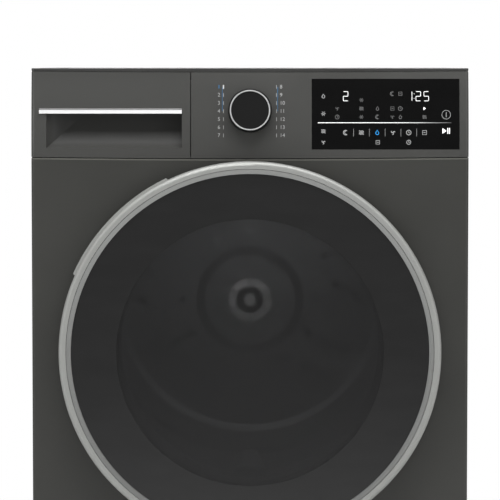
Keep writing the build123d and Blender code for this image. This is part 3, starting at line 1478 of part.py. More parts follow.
# ================================================================ assembly
def build():
    """Every separate piece by its name."""
    right = side_panel_right()
    feet = dict(zip(("foot_front_left", "foot_front_right", "foot_rear_left", "foot_rear_right"),
                    [foot(x, y) for x, y in foot_places()]))
    pieces = {
        "worktop": worktop(),
        "side_panel_left": mirror(right, Plane.YZ),
        "side_panel_right": right,
        "rear_panel": rear_panel(),
        "rear_duct_cover": rear_duct_cover(),
        "front_panel": front_panel(),
        "kick_plate": kick_plate(),
        "service_flap": service_flap(),
        "control_fascia": control_fascia(),
        "display_window": display_window(),
        "fascia_bracket": fascia_bracket(),
        "control_module": control_module(),
        "dial_knob": dial_knob(),
        "dial_ring": dial_ring(),
        "tank_front": tank_front(),
        "tank_handle_strip": tank_handle_strip(),
        "tank_body": tank_body(),
        "tank_bay": tank_bay(),
        "door_ring": door_ring(),
        "door_trim_ring": door_trim_ring(),
        "door_window": door_window(),
        "door_frame": door_frame(),
        "door_bowl": door_bowl(),
        "door_hook": door_hook(),
        "door_hinge_pins": door_hinge_pins(),
        "door_catch": door_catch(),
        "hinge_bracket": hinge_bracket(),
        "door_gasket": door_gasket(),
        "front_bulkhead": front_bulkhead(),
        "lint_filter": lint_filter(),
        "front_drum_seal": front_drum_seal(),
        "rear_drum_seal": rear_drum_seal(),
        "roller_left": roller(-1),
        "roller_right": roller(1),
        "drum_shell": drum_shell(),
        "drum_back": drum_back(),
        "drum_paddles": drum_paddles(),
        "drum_shaft": drum_shaft(),
        "drive_belt": drive_belt(),
        "motor": motor(),
        "motor_shaft": motor_shaft(),
        "fan_impeller": fan_impeller(),
        "fan_housing": fan_housing(),
        "idler_pulley": idler_pulley(),
        "tension_arm": tension_arm(),
        "base_tray": base_tray(),
        "heat_exchanger_cover": heat_exchanger_cover(),
        "cover_lock": cover_lock(),
        "evaporator": evaporator(),
        "condenser": condenser(),
        "compressor": compressor(),
        "refrigerant_pipes": refrigerant_pipes(),
        "condensate_pump": condensate_pump(),
        "condensate_hose": condensate_hose(),
        "drain_spigot": drain_spigot(),
        "mains_inlet": mains_inlet(),
    }
    pieces.update(feet)
    return pieces


def solid_of(shape):
    """One exportable shape from a solid or a list of separate solids."""
    if isinstance(shape, (list, tuple)):
        solids = [solid for item in shape for solid in item.solids()]
        return Compound(children=solids)
    return shape


os.makedirs("parts", exist_ok=True)
for name, shape in build().items():
    export_step(solid_of(shape), f"parts/{name}.step")
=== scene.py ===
# %% [markdown]
# # A tumble dryer, dressed around its fixed frame
# The solids of the dryer are already made and packed, each piece with its own name. They come in
# as a frame that is never moved. This lesson gives every piece a finish worked out by shader
# nodes, adds what solids are too coarse for (printed marks, screws, strips, cloth), and lights it
# like a product on a pale studio floor.

import json

import bpy
import numpy as np
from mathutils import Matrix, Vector


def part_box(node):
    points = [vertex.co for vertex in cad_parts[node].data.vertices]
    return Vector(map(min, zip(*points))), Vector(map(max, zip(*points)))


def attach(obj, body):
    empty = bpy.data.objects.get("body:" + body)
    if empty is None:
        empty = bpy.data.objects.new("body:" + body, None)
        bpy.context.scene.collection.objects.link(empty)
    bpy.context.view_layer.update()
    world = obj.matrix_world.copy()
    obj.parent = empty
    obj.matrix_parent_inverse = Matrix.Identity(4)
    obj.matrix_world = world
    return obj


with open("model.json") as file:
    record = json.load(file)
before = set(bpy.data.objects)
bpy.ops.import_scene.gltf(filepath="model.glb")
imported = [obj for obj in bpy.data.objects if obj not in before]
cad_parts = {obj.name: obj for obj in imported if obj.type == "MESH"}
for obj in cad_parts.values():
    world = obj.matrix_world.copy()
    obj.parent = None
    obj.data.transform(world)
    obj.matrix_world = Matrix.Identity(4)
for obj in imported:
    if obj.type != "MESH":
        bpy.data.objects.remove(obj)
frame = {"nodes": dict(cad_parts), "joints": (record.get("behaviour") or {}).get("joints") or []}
scene = bpy.context.scene
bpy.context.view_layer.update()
print("pieces in the frame:", len(frame["nodes"]))

# %% [markdown]
# Every place below comes from the frame. The front panel's box gives the front and the seam,
# the glass gives the door's centre, and the joints give the axes of the drum and the dial. The
# fascia is a cylinder that stands upright at the seam. The dial's axis is square to it, so its
# slope and its height above the seam give the cylinder's radius.

# %% Places that the later cells share
MM = 0.001
joints = {joint["name"]: joint for joint in frame["joints"]}
front_low, front_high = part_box("front_panel")
rear_low, rear_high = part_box("rear_panel")
glass_low, glass_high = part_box("door_window")
display_low, display_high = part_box("display_window")
front_y = front_low.y
seam_z = front_high.z
door_centre = (glass_low + glass_high) / 2
drum_axis = Vector(joints["drum_spin"]["pos_m"])
dial_centre = Vector(joints["dial_turn"]["pos_m"])
dial_axis = Vector(joints["dial_turn"]["axis"])
fascia_radius = (dial_centre.z - seam_z) / dial_axis.z
print("fascia radius in mm:", round(fascia_radius / MM))

# %% [markdown]
# ## Colours
# A colour is easiest to choose as display levels from 0 to 255, the way a paint sample reads on a
# screen, but a shader wants linear light. One function undoes the display curve.

# %% From display levels to linear light
def linear(*levels):
    """Linear colour of display levels from 0 to 255: the usual display curve, undone."""
    shown = np.array(levels * 3 if len(levels) == 1 else levels) / 255
    light = np.where(shown <= 0.04045, shown / 12.92, ((shown + 0.055) / 1.055) ** 2.4)
    return tuple(float(value) for value in light) + (1.0,)


print("display level 128 is", round(linear(128)[0], 3), "in linear light")

# %% [markdown]
# ## Shader maths as plain expressions
# A material is a tree of nodes. Written out link by link it is long and hard to read, so one
# small class wraps a node's output and gives it the usual operators: `1 - mask` then adds the
# Math node by itself.

# %% A wire and its operators
class Wire:
    """One output in a tree of nodes."""

    def __init__(self, tree, socket):
        self.tree = tree
        self.socket = socket

    def maths(self, operation, first, second=0.0):
        return self.tree.node("Math", {"operation": operation}, {0: first, 1: second})

    def __add__(self, other):
        return self.maths("ADD", self, other)

    __radd__ = __add__

    def __mul__(self, other):
        return self.maths("MULTIPLY", self, other)

    __rmul__ = __mul__

    def __sub__(self, other):
        return self.maths("SUBTRACT", self, other)

    def __rsub__(self, other):
        return self.maths("SUBTRACT", other, self)

    def __truediv__(self, other):
        return self.maths("DIVIDE", self, other)

    def __lt__(self, other):
        return self.maths("LESS_THAN", self, other)

    def __gt__(self, other):
        return self.maths("GREATER_THAN", self, other)

    def ramped(self, low, high):
        """Smooth step from 0 at low to 1 at high."""
        return self.tree.node("MapRange", {"interpolation_type": "SMOOTHSTEP"},
                              {"Value": self, "From Min": low, "From Max": high})


# %% [markdown]
# ### The tree that the wires run in
# Materials and the studio's world are both trees of nodes. One method adds any node: its
# settings come first, because they decide which sockets it has, and then its sockets' values
# or links.

# %% A tree of nodes
class NodeTree:
    """Tree of shader nodes that grows by one method."""

    def __init__(self, tree):
        self.nodes = tree.nodes
        self.links = tree.links

    def plug(self, socket, value):
        """Links a wire to a socket, or sets the socket's own value."""
        if isinstance(value, Wire):
            self.links.new(value.socket, socket)
        else:
            socket.default_value = value

    def node(self, kind, settings=None, sockets=None, output=0):
        """Adds one node: its settings first, then its sockets' values or links."""
        made = self.nodes.new("ShaderNode" + kind)
        for name, value in (settings or {}).items():
            setattr(made, name, value)
        for key, value in (sockets or {}).items():
            self.plug(made.inputs[key], value)
        return Wire(self, made.outputs[output])


# %% [markdown]
# ### A finish
# A finish is one material around one Principled shader. Its methods are the few patterns that
# most surfaces of the dryer share: a place on the piece, a noise there, two colours mixed by a
# mask, and a relief.

# %% A finish is one material
class Finish(NodeTree):
    """A material with a Principled shader."""

    def __init__(self, name, surface):
        self.material = bpy.data.materials.new(name)
        self.material.use_nodes = True
        super().__init__(self.material.node_tree)
        self.shader = self.nodes["Principled BSDF"]
        for socket, value in surface.items():
            self.shader.inputs[socket].default_value = value

    def feed(self, socket, value):
        """Gives one socket of the shader its value or its wire."""
        self.plug(self.shader.inputs[socket], value)
        return self

    def place(self, scale=(1, 1, 1), centre=(0, 0, 0)):
        """Object coordinates in metres, measured from a centre and stretched."""
        here = self.node("TexCoord", output="Object")
        moved = self.node("VectorMath", {"operation": "SUBTRACT"}, {0: here, 1: centre})
        return self.node("VectorMath", {"operation": "MULTIPLY"}, {0: moved, 1: scale})

    def axis(self, vector, letter):
        """One coordinate of a vector."""
        return self.node("SeparateXYZ", sockets={0: vector}, output=letter)

    def noise(self, vector, scale, detail=2.0):
        """Smooth noise from 0 to 1, with about scale humps to the metre."""
        return self.node("TexNoise", sockets={"Vector": vector, "Scale": scale, "Detail": detail},
                         output="Fac")

    def mixed(self, mask, low, high):
        """Colour that goes from low to high as the mask goes from 0 to 1."""
        return self.node("Mix", {"data_type": "RGBA"}, {0: mask, 6: low, 7: high}, output=2)

    def bumped(self, height, depth):
        """Relief whose deepest point lies depth metres below its highest."""
        return self.feed("Normal", self.node("Bump", sockets={"Height": height,
                                                              "Distance": depth}))


# %% [markdown]
# ## One recipe for most finishes
# Paint and mouldings are never quite even. A slow noise shifts the colour and the gloss a
# little, as light does on a surface that has been handled, and a fine noise gives the relief:
# orange peel on paint, the eroded grain of a tool on plastic.

# %% Paint, plastic, rubber and cast metal
def grained(name, colour, roughness, grain, depth, surface=None, spread=0.06):
    """Finish with slow drifts of colour and gloss and a fine relief.

    Colour runs between (1 - spread) and (1 + spread) times the given one.
    """
    values = {"Roughness": roughness}
    values.update(surface or {})
    finish = Finish(name, values)
    here = finish.place()
    drift = finish.noise(here, 9.0, 4.0)
    fine = finish.noise(here, grain, 3.0)
    darker = tuple(channel * (1 - spread) for channel in colour[:3]) + (1.0,)
    lighter = tuple(channel * (1 + spread) for channel in colour[:3]) + (1.0,)
    finish.feed("Base Color", finish.mixed(drift.ramped(0.3, 0.7), darker, lighter))
    finish.feed("Roughness", roughness + (drift - 0.5) * 0.10 + (fine - 0.5) * 0.06)
    return finish.bumped(fine, depth)


cabinet_paint = grained("cabinet_paint", linear(56, 56, 53), 0.44, 900.0, 0.00002)
front_paint = grained("front_paint", linear(56, 56, 53), 0.44, 900.0, 0.00002)
worktop_paint = grained("worktop_paint", linear(57, 57, 56), 0.38, 700.0, 0.00003)
fascia_plastic = grained("fascia_plastic", linear(68, 68, 66), 0.40, 1800.0, 0.00002)
black_plastic = grained("black_plastic", linear(30), 0.46, 1500.0, 0.00004)
knob_plastic = grained("knob_plastic", linear(20), 0.42, 2200.0, 0.00001,
                       {"Specular IOR Level": 0.25})
grey_plastic = grained("grey_plastic", linear(146, 149, 151), 0.50, 800.0, 0.00005)
tank_plastic = grained("tank_plastic", linear(176, 180, 182), 0.36, 500.0, 0.00003)
soft_rubber = grained("soft_rubber", linear(38), 0.72, 1200.0, 0.00006)
black_enamel = grained("black_enamel", linear(24), 0.30, 260.0, 0.00006)
cast_aluminium = grained("cast_aluminium", linear(168, 170, 172), 0.45, 420.0, 0.00012,
                         {"Metallic": 0.9})
print("grained finishes are made")

# %% [markdown]
# The front panel wears the same paint, but along its top fold a fine lighter line is painted under
# the fascia: a painted highlight that stands in for the light caught by the bend. That edge is bowed:
# it lies a seam below the fascia in the middle and rises to the panel's corners with the square of x.
# The painted highlight is a band under it.

# %% The front panel's top fold, with a painted highlight
plain_paint = Wire(front_paint, front_paint.shader.inputs["Base Color"].links[0].from_socket)
fascia_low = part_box("control_fascia")[0]
SEAM = 1.2 * MM
middle_z = fascia_low.z - SEAM
sideways = front_paint.axis(front_paint.place(), "X") / front_high.x
edge_z = sideways * sideways * (front_high.z - middle_z) + middle_z
below_edge = edge_z - front_paint.axis(front_paint.place(), "Z")
# Painted highlight: a lighter band just under the bowed top edge of the front panel.
fold_highlight = 1 - below_edge.ramped(1.7 * MM, 2.1 * MM)
front_paint.feed("Base Color", front_paint.mixed(fold_highlight, plain_paint, linear(94, 94, 89)))
print("the panel's top edge dips by", round((front_high.z - middle_z) / MM, 2), "mm")

# %% [markdown]
# The tank's front is moulded in the fascia's colour, but its finger recess is left as coarse as it
# comes from the tool and is painted darker, a painted shade inside the recess. Both changes follow the
# depth behind the cabinet's front.

# %% Front of the tank
tank_front_plastic = Finish("tank_front_plastic", {"Roughness": 0.42})
depth = tank_front_plastic.axis(tank_front_plastic.place(), "Y") - front_y
recess_shade_and_coarseness = depth.ramped(5 * MM, 20 * MM)
pores = tank_front_plastic.noise(tank_front_plastic.place(), 1800.0, 3.0)
face = tank_front_plastic.mixed(pores.ramped(0.3, 0.7), linear(66, 66, 64), linear(70, 70, 68))
# Painted shade: the finger recess darkens with its depth behind the front.
tank_front_plastic.feed("Base Color", tank_front_plastic.mixed(recess_shade_and_coarseness, face, linear(40, 40, 38)))
tank_front_plastic.feed("Roughness", 0.40 + recess_shade_and_coarseness * 0.15 + (pores - 0.5) * 0.06)
tank_front_plastic.bumped(pores, 0.00002)

# %% [markdown]
# ## Sheet metals
# Hot-dip zinc freezes into flat crystals, each with its own shade, which Voronoi cells copy.
# Copper tube darkens in patches, so a noise chooses between bright and dull copper.

# %% Zinc and copper
zinc = Finish("zinc_sheet", {"Metallic": 0.85, "Roughness": 0.42})
crystals = zinc.node("TexVoronoi", sockets={"Vector": zinc.place(), "Scale": 130.0}, output="Color")
shade = zinc.axis(crystals, "X")
zinc.feed("Base Color", zinc.mixed(shade, linear(158, 161, 163), linear(176, 178, 180)))
zinc.feed("Roughness", 0.38 + shade * 0.10)
zinc.bumped(zinc.noise(zinc.place(), 300.0), 0.00002)

copper = Finish("copper_tube", {"Metallic": 1.0, "Roughness": 0.32})
patches = copper.noise(copper.place(), 40.0, 5.0).ramped(0.45, 0.65)
copper.feed("Base Color", copper.mixed(patches, linear(196, 122, 84), linear(120, 72, 50)))
copper.feed("Roughness", 0.28 + patches * 0.25)
copper.bumped(copper.noise(copper.place(), 500.0), 0.00002)
print("zinc and copper are made")

# %% [markdown]
# ### Brushed steel
# A turned or pressed steel part shows fine lines along the way it was worked. They are noise
# whose coordinates are squeezed along that way, which draws every spot out into a line.

# %% Brushed steel
def brushed(name, colour, roughness, grain, metallic=1.0):
    """Metal brushed one way: noise stretched along its grain by the small number."""
    finish = Finish(name, {"Metallic": metallic, "Roughness": roughness})
    lines = finish.noise(finish.place(grain), 900.0, 3.0)
    finish.feed("Base Color", finish.mixed(lines.ramped(0.2, 0.8), linear(*(c - 10 for c in colour)),
                                           linear(*(c + 8 for c in colour))))
    finish.feed("Roughness", roughness - 0.06 + lines * 0.12)
    return finish.bumped(lines, 0.000004)


turned_steel = brushed("turned_steel", (172, 173, 174), 0.30, (1, 0.025, 1))
pressed_steel = brushed("pressed_steel", (166, 167, 168), 0.36, (0.025, 1, 1))
print("brushed steels are made")

# %% [markdown]
# ### The drum's steel
# The stainless shell is pressed with rows of shallow dimples that keep the laundry off it. The
# rows follow the shell when their coordinates are the angle round the drum times its radius, and
# the distance along it. A Voronoi pattern without randomness is a grid of round cells.

# %% Dimples round the drum
drum_steel = Finish("drum_steel", {"Metallic": 1.0, "Roughness": 0.28})
around = drum_steel.place(centre=tuple(drum_axis))
turn = drum_steel.node("Math", {"operation": "ARCTAN2"},
                       {0: drum_steel.axis(around, "X"), 1: drum_steel.axis(around, "Z")})
drum_low, drum_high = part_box("drum_shell")
drum_radius = (drum_high.x - drum_low.x) / 2
unrolled = drum_steel.node("CombineXYZ", sockets={0: turn * drum_radius,
                                                  1: drum_steel.axis(around, "Y")})
dimples = drum_steel.node("TexVoronoi", {"voronoi_dimensions": "2D"},
                          {"Vector": unrolled, "Scale": 55.0, "Randomness": 0.0})
pressed = dimples.ramped(0.12, 0.34)
# Painted shade: the dimples are darker than the flat steel round them.
drum_steel.feed("Base Color", drum_steel.mixed(pressed, linear(140), linear(178, 179, 180)))
drum_steel.feed("Roughness", 0.36 - pressed * 0.1)
drum_steel.bumped(pressed, 0.0006)
print("the drum's radius is", round(drum_radius / MM), "mm")

# %% [markdown]
# ## Satin rings
# The door's rings are turned, so their brushing runs in circles. Noise in one dimension, fed
# with the distance from the door's axis, draws lines that close on themselves.

# %% Silver trim
def ringed(name, colour, roughness, centre, lines_per_metre, metallic=0.85):
    """Metal whose fine lines are circles round the Y line through a centre."""
    finish = Finish(name, {"Metallic": metallic, "Roughness": roughness})
    flat = finish.place((1, 0, 1), tuple(centre))
    radius = finish.node("VectorMath", {"operation": "LENGTH"}, {0: flat}, output="Value")
    lines = finish.node("TexNoise", {"noise_dimensions": "1D"},
                        {"W": radius * lines_per_metre, "Scale": 1.0, "Detail": 2.0}, output="Fac")
    finish.feed("Base Color", finish.mixed(lines.ramped(0.25, 0.75),
                                           linear(*(c - 9 for c in colour)),
                                           linear(*(c + 9 for c in colour))))
    finish.feed("Roughness", roughness - 0.05 + lines * 0.1)
    return finish.bumped(lines, 0.000006)


satin_ring = ringed("satin_ring", (172, 173, 170), 0.60, door_centre, 5200.0, 0.7)
trim_ring = ringed("trim_ring", (158, 159, 157), 0.36, door_centre, 5200.0)
dial_silver = ringed("dial_silver", (218, 219, 218), 0.30, dial_centre, 9000.0, 0.3)
drum_disc = ringed("drum_disc", (128, 130, 131), 0.50, drum_axis, 3000.0, 0.9)
print("ring finishes are made")

# %% [markdown]
# ### Handle strip and hub
# The strip over the finger recess is bright below, and along its upper edge it is painted dark, a
# painted shade, so the height parts two colours. The hub plate carries a dark washer between its
# boss and its holes, so the distance from the drum's axis parts them there.

# %% Handle strip
strip_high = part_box("tank_handle_strip")[1]
bright_strip = Finish("bright_strip", {"Metallic": 0.2, "Roughness": 0.3})
upper_edge_shade = bright_strip.axis(bright_strip.place(), "Z").ramped(strip_high.z - 2.7 * MM,
                                                            strip_high.z - 2.2 * MM)
hairs = bright_strip.noise(bright_strip.place((0.01, 1, 1)), 900.0)
worn = bright_strip.mixed(hairs, linear(236), linear(242))
# Painted shade: a dark band along the strip's upper edge.
bright_strip.feed("Base Color", bright_strip.mixed(upper_edge_shade, worn, linear(74)))
bright_strip.feed("Roughness", 0.28 + hairs * 0.06)
print("the strip's top is", round(strip_high.z / MM, 1), "mm above the floor")

# %% Hub plate
hub_steel = Finish("hub_steel", {"Metallic": 0.9, "Roughness": 0.42})
flat = hub_steel.place((1, 0, 1), tuple(drum_axis))
reach = hub_steel.node("VectorMath", {"operation": "LENGTH"}, {0: flat}, output="Value")
washer = (reach > 11.2 * MM) * (reach < 19.0 * MM)
turning = hub_steel.noise(flat, 700.0)
bare = hub_steel.mixed(turning, linear(196, 197, 198), linear(214, 215, 216))
hub_steel.feed("Base Color", hub_steel.mixed(washer, bare, linear(60)))
hub_steel.feed("Roughness", 0.36 + washer * 0.3 + turning * 0.08)
print("the hub's steel is made")

# %% [markdown]
# ## Glass
# The outer glass is smoked so dark that it just lets the drum's hub through. A see-through share
# (Alpha) over a glossy black does this without bending light. Round the bowl the glass is printed
# black on its inside, so there Alpha is 1. The bowl behind it is clear, and the display's cover is
# black gloss.

# %% Smoked, clear and black glass
def smudged(name, colour, roughness, surface):
    """Glass with very slight wipe marks in its gloss."""
    finish = Finish(name, surface)
    wipes = finish.noise(finish.place((1, 1, 4)), 14.0, 4.0)
    finish.feed("Base Color", finish.mixed(wipes.ramped(0.3, 0.7), colour,
                                           tuple(c * 1.12 for c in colour[:3]) + (1.0,)))
    return finish.feed("Roughness", roughness + wipes.ramped(0.4, 0.8) * 0.05)


smoked_glass = smudged("smoked_glass", linear(36), 0.10, {"IOR": 1.45})
bowl_low, bowl_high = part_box("door_bowl")
bowl_radius = (bowl_high.x - bowl_low.x) / 2
flat = smoked_glass.place((1, 0, 1), tuple(door_centre))
reach = smoked_glass.node("VectorMath", {"operation": "LENGTH"}, {0: flat}, output="Value")
print_edge = reach.ramped(bowl_radius - 9 * MM, bowl_radius - 8 * MM)
smoked_glass.feed("Alpha", 0.66 + print_edge * 0.34)
clear_glass = smudged("clear_glass", linear(70, 74, 75), 0.06, {"Alpha": 0.14, "IOR": 1.45})
display_black = smudged("display_black", linear(9), 0.22, {"Specular IOR Level": 0.2})
print("glass finishes are made; the bowl's radius is", round(bowl_radius / MM), "mm")

# %% [markdown]
# ## Felt, belt, fins and feet
# Felt is short fibre: one fine noise gives both its relief and its colour.
# The belt is rubber with ribs along its length, so a wave across its width draws them. The
# heat exchangers are packs of thin fins two millimetres apart. A foot is one piece of the frame
# with two materials: a rubber pad below and a zinc-plated stud above, told apart by height.

# %% Patterned finishes
felt = Finish("felt", {"Roughness": 0.95})
fibres = felt.noise(felt.place((1, 3, 1)), 900.0, 5.0)
felt.feed("Base Color", felt.mixed(fibres, linear(110, 106, 100), linear(168, 164, 156)))
felt.bumped(fibres, 0.0004)


def waved(finish, letter, pitch):
    """Wave along one axis: half of one plus the sine of the distance times 2 pi / pitch."""
    along = finish.axis(finish.place(), letter)
    wave = finish.node("Math", {"operation": "SINE"}, {0: along * (2 * np.pi / pitch)})
    return wave * 0.5 + 0.5


belt_rubber = Finish("belt_rubber", {"Roughness": 0.62})
ribs_and_groove_shade = waved(belt_rubber, "Y", 1.8 * MM)
# Painted shade: the grooves between the ribs are darker, following the same wave as the relief.
belt_rubber.feed("Base Color", belt_rubber.mixed(ribs_and_groove_shade, linear(22), linear(44)))
belt_rubber.bumped(ribs_and_groove_shade, 0.0006)

fins = Finish("exchanger_fins", {"Metallic": 0.9, "Roughness": 0.38})
fin_edges_and_gap_shade = waved(fins, "X", 2.0 * MM).ramped(0.35, 0.65)
# Painted shade: the gaps between the fins are dark and only the fin edges are bright.
fins.feed("Base Color", fins.mixed(fin_edges_and_gap_shade, linear(70, 74, 78), linear(196, 199, 202)))
fins.bumped(fin_edges_and_gap_shade, 0.0008)

foot_finish = Finish("foot", {"Roughness": 0.7})
above_pad = foot_finish.axis(foot_finish.place(), "Z").ramped(6.9 * MM, 7.1 * MM)
speckle = foot_finish.noise(foot_finish.place(), 600.0, 3.0)
foot_finish.feed("Base Color", foot_finish.mixed(above_pad, linear(36), linear(170, 172, 174)))
foot_finish.feed("Metallic", above_pad * 0.9)
foot_finish.feed("Roughness", 0.72 - above_pad * 0.35 + (speckle - 0.5) * 0.1)
foot_finish.bumped(speckle, 0.00008)
print("felt, belt, fins and feet are made")

# %% [markdown]
# ## Who wears what
# One table by finish keeps the choice easy to check: every piece of the frame is in it once.

# %% Give every piece of the frame its finish
wardrobe = {
    cabinet_paint: ["side_panel_left", "side_panel_right", "kick_plate", "service_flap"],
    front_paint: ["front_panel"],
    worktop_paint: ["worktop"],
    fascia_plastic: ["control_fascia"],
    tank_front_plastic: ["tank_front"],
    zinc: ["rear_panel", "fascia_bracket", "rear_duct_cover"],
    display_black: ["display_window"],
    knob_plastic: ["dial_knob"],
    dial_silver: ["dial_ring"],
    bright_strip: ["tank_handle_strip"],
    satin_ring: ["door_ring"],
    trim_ring: ["door_trim_ring"],
    smoked_glass: ["door_window"],
    clear_glass: ["door_bowl"],
    black_plastic: ["door_frame", "door_catch", "door_hook", "tension_arm", "idler_pulley",
                    "roller_left", "roller_right", "condensate_pump", "mains_inlet",
                    "fan_impeller", "control_module"],
    grey_plastic: ["front_bulkhead", "lint_filter", "fan_housing", "base_tray", "cover_lock",
                   "heat_exchanger_cover", "drum_paddles", "drain_spigot"],
    tank_plastic: ["tank_body", "tank_bay"],
    soft_rubber: ["door_gasket", "condensate_hose"],
    felt: ["front_drum_seal", "rear_drum_seal"],
    drum_steel: ["drum_shell"],
    drum_disc: ["drum_back"],
    hub_steel: ["drum_shaft"],
    turned_steel: ["door_hinge_pins", "motor_shaft"],
    pressed_steel: ["hinge_bracket"],
    fins: ["evaporator", "condenser"],
    cast_aluminium: ["motor"],
    black_enamel: ["compressor"],
    copper: ["refrigerant_pipes"],
    belt_rubber: ["drive_belt"],
    foot_finish: ["foot_front_left", "foot_front_right", "foot_rear_left", "foot_rear_right"],
}
dressed = 0
for finish, names in wardrobe.items():
    for name in names:
        materials = frame["nodes"][name].data.materials
        materials.clear()
        materials.append(finish.material)
        dressed += 1
print("dressed", dressed, "of", len(frame["nodes"]))

# %% [markdown]
# ## Surfaces from arrays
# New pieces are grids of points worked out in one go with numpy. `grid_faces` joins the
# neighbours, and `piece` turns arrays into an object that rides on a body of the dryer.

# %% Helpers for new pieces
def grid_faces(rows, columns, round_columns=False):
    """Quads of a grid stored row by row: each joins a point to the next in its row and column."""
    row = np.arange(rows - 1)[:, None]
    column = np.arange(columns if round_columns else columns - 1)[None, :]
    after = (column + 1) % columns
    quads = np.stack([row * columns + column, row * columns + after,
                      (row + 1) * columns + after, (row + 1) * columns + column], -1)
    return quads.reshape(-1, 4)


def joined(parts):
    """Several (points, faces) pairs as one pair, with the faces renumbered."""
    counts = np.cumsum([0] + [len(points) for points, _ in parts])
    faces = [tuple(int(i) + int(start) for i in face)
             for start, (_, group) in zip(counts, parts) for face in group]
    return np.concatenate([points for points, _ in parts]), faces


def piece(name, points, faces, finish, body, slot, thickness=0.0, smooth=False):
    """Object from arrays; a thickness closes an open sheet by giving it a wall behind."""
    mesh = bpy.data.meshes.new(name)
    mesh.from_pydata(np.asarray(points, float).tolist(), [], [tuple(map(int, f)) for f in faces])
    mesh.materials.append(finish.material)
    mesh.polygons.foreach_set("use_smooth", np.full(len(mesh.polygons), smooth))
    made = bpy.data.objects.new(name, mesh)
    scene.collection.objects.link(made)
    if thickness:
        wall = made.modifiers.new("wall", "SOLIDIFY")
        wall.thickness = thickness
        wall.offset = -1.0
    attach(made, body)
    print(name, "has", len(points), "points")
    return made


# %% [markdown]
# ## Marks printed on a curved face
# A flat drawing in (u, v) is laid on the fascia by one formula: x goes straight across, and the
# height runs round the fascia's upright circle. A mark is drawn from three shapes: a stroke of
# even width along a line, a filled convex outline, and a figure from Blender's own typeface.

# %% Flat shapes and the way they are laid on the fascia
def stroke(line, width, closed=False):
    """Ribbon along a line: each point moved half a width to both sides of the local run."""
    line = np.asarray(line, float)
    if closed:
        run = np.roll(line, -1, 0) - np.roll(line, 1, 0)
    else:
        run = np.gradient(line, axis=0)
    side = np.stack([-run[:, 1], run[:, 0]], 1)
    side *= width / 2 / np.linalg.norm(side, axis=1, keepdims=True)
    points = np.concatenate([line + side, line - side])
    count = len(line)
    here = np.arange(count if closed else count - 1)
    after = (here + 1) % count
    return points, np.stack([here, here + count, after + count, after], 1)


def filled(outline):
    """Convex outline filled by one face, turned to run anticlockwise."""
    outline = np.asarray(outline, float)
    following = np.roll(outline, -1, 0)
    area = np.sum(outline[:, 0] * following[:, 1] - following[:, 0] * outline[:, 1])
    order = np.arange(len(outline)) if area > 0 else np.arange(len(outline))[::-1]
    return outline, order[None, :]


def arc(radius, start=0.0, end=360.0, count=25):
    """Points of a circle between two angles in degrees."""
    angle = np.radians(np.linspace(start, end, count))
    return np.stack([radius * np.cos(angle), radius * np.sin(angle)], 1)


def figure(text, height, align="CENTER"):
    """Points and faces of a typeset figure whose capitals have the given height."""
    curve = bpy.data.curves.new("figure", "FONT")
    curve.body = text
    curve.size = height / 0.7
    curve.align_x = align
    curve.align_y = "CENTER"
    holder = bpy.data.objects.new("figure", curve)
    scene.collection.objects.link(holder)
    shaped = holder.evaluated_get(bpy.context.evaluated_depsgraph_get())
    mesh = shaped.to_mesh()
    points = np.zeros(len(mesh.vertices) * 3)
    mesh.vertices.foreach_get("co", points)
    faces = [tuple(polygon.vertices) for polygon in mesh.polygons]
    shaped.to_mesh_clear()
    bpy.data.objects.remove(holder)
    bpy.data.curves.remove(curve)
    return points.reshape(-1, 3)[:, :2], faces


def laid(shape, x, z, size=1.0):
    """Flat shape scaled about its origin and put at (x, z)."""
    points, faces = shape
    return points * size + np.array([x, z]), faces


def on_fascia(flat, lift):
    """Points (x, z) lifted off the fascia: y = circle's middle - sqrt(radius^2 - rise^2)."""
    rise = flat[:, 1] - seam_z
    depth = np.sqrt((fascia_radius + lift) ** 2 - rise ** 2)
    return np.stack([flat[:, 0], front_y + fascia_radius - depth, flat[:, 1]], 1)


def printed(name, shapes, finish, slot, lift=0.12 * MM):
    """All shapes of one ink as a thin raised print on the fascia."""
    flat, faces = joined(shapes)
    return piece(name, on_fascia(flat, lift), faces, finish, "root", slot, thickness=0.1 * MM)


# %% [markdown]
# ## Inks and lights
# Printed ink is matt. The display's symbols are lit from behind, so they give out a little light
# of their own: bright for what is on, dim for what is off.

# %% Ink and light finishes
def ink(name, colour, glow=0.0):
    """Speckled ink, or a lit symbol if it has a glow."""
    finish = Finish(name, {"Roughness": 0.55, "Emission Strength": glow})
    grain = finish.noise(finish.place(), 2500.0)
    tint = finish.mixed(grain.ramped(0.3, 0.7), tuple(c * 0.9 for c in colour[:3]) + (1.0,), colour)
    finish.feed("Base Color", tint)
    if glow:
        finish.feed("Emission Color", tint)
    return finish


white_ink = ink("white_ink", linear(214))
grey_ink = ink("grey_ink", linear(186))
blue_ink = ink("blue_ink", linear(44, 148, 214))
lit_white = ink("lit_white", linear(232), 0.9)
lit_grey = ink("lit_grey", linear(160), 0.45)
lit_dim = ink("lit_dim", linear(104), 0.25)
lit_blue = ink("lit_blue", linear(36, 140, 208), 0.7)

lit_rule = Finish("lit_rule", {"Roughness": 0.55, "Emission Strength": 0.9})
gone = lit_rule.axis(lit_rule.place(), "X").ramped((display_low.x + display_high.x) / 2,
                                                   display_high.x)
fading = lit_rule.mixed(gone, linear(232), linear(44))
lit_rule.feed("Base Color", fading)
lit_rule.feed("Emission Color", fading)
print("inks are made")

# %% [markdown]
# ## The dial's scale
# Seven short bars stand on each side of the dial, eleven millimetres apart and level with its
# middle. The first one is the marked position and is bolder. Numbers stand beside them. A thin
# blue line joins the first four on each side.

# %% Bars and numbers round the dial
PITCH = 11.0 * MM
BAR_OUT = 36.2 * MM
BAR_HEIGHT = 5.0 * MM
BAR_WIDTH = 0.7 * MM
NUMBER_OUT = 40.6 * MM
NUMBER_HEIGHT = 5.0 * MM
heights = dial_centre.z + PITCH * (3 - np.arange(7))


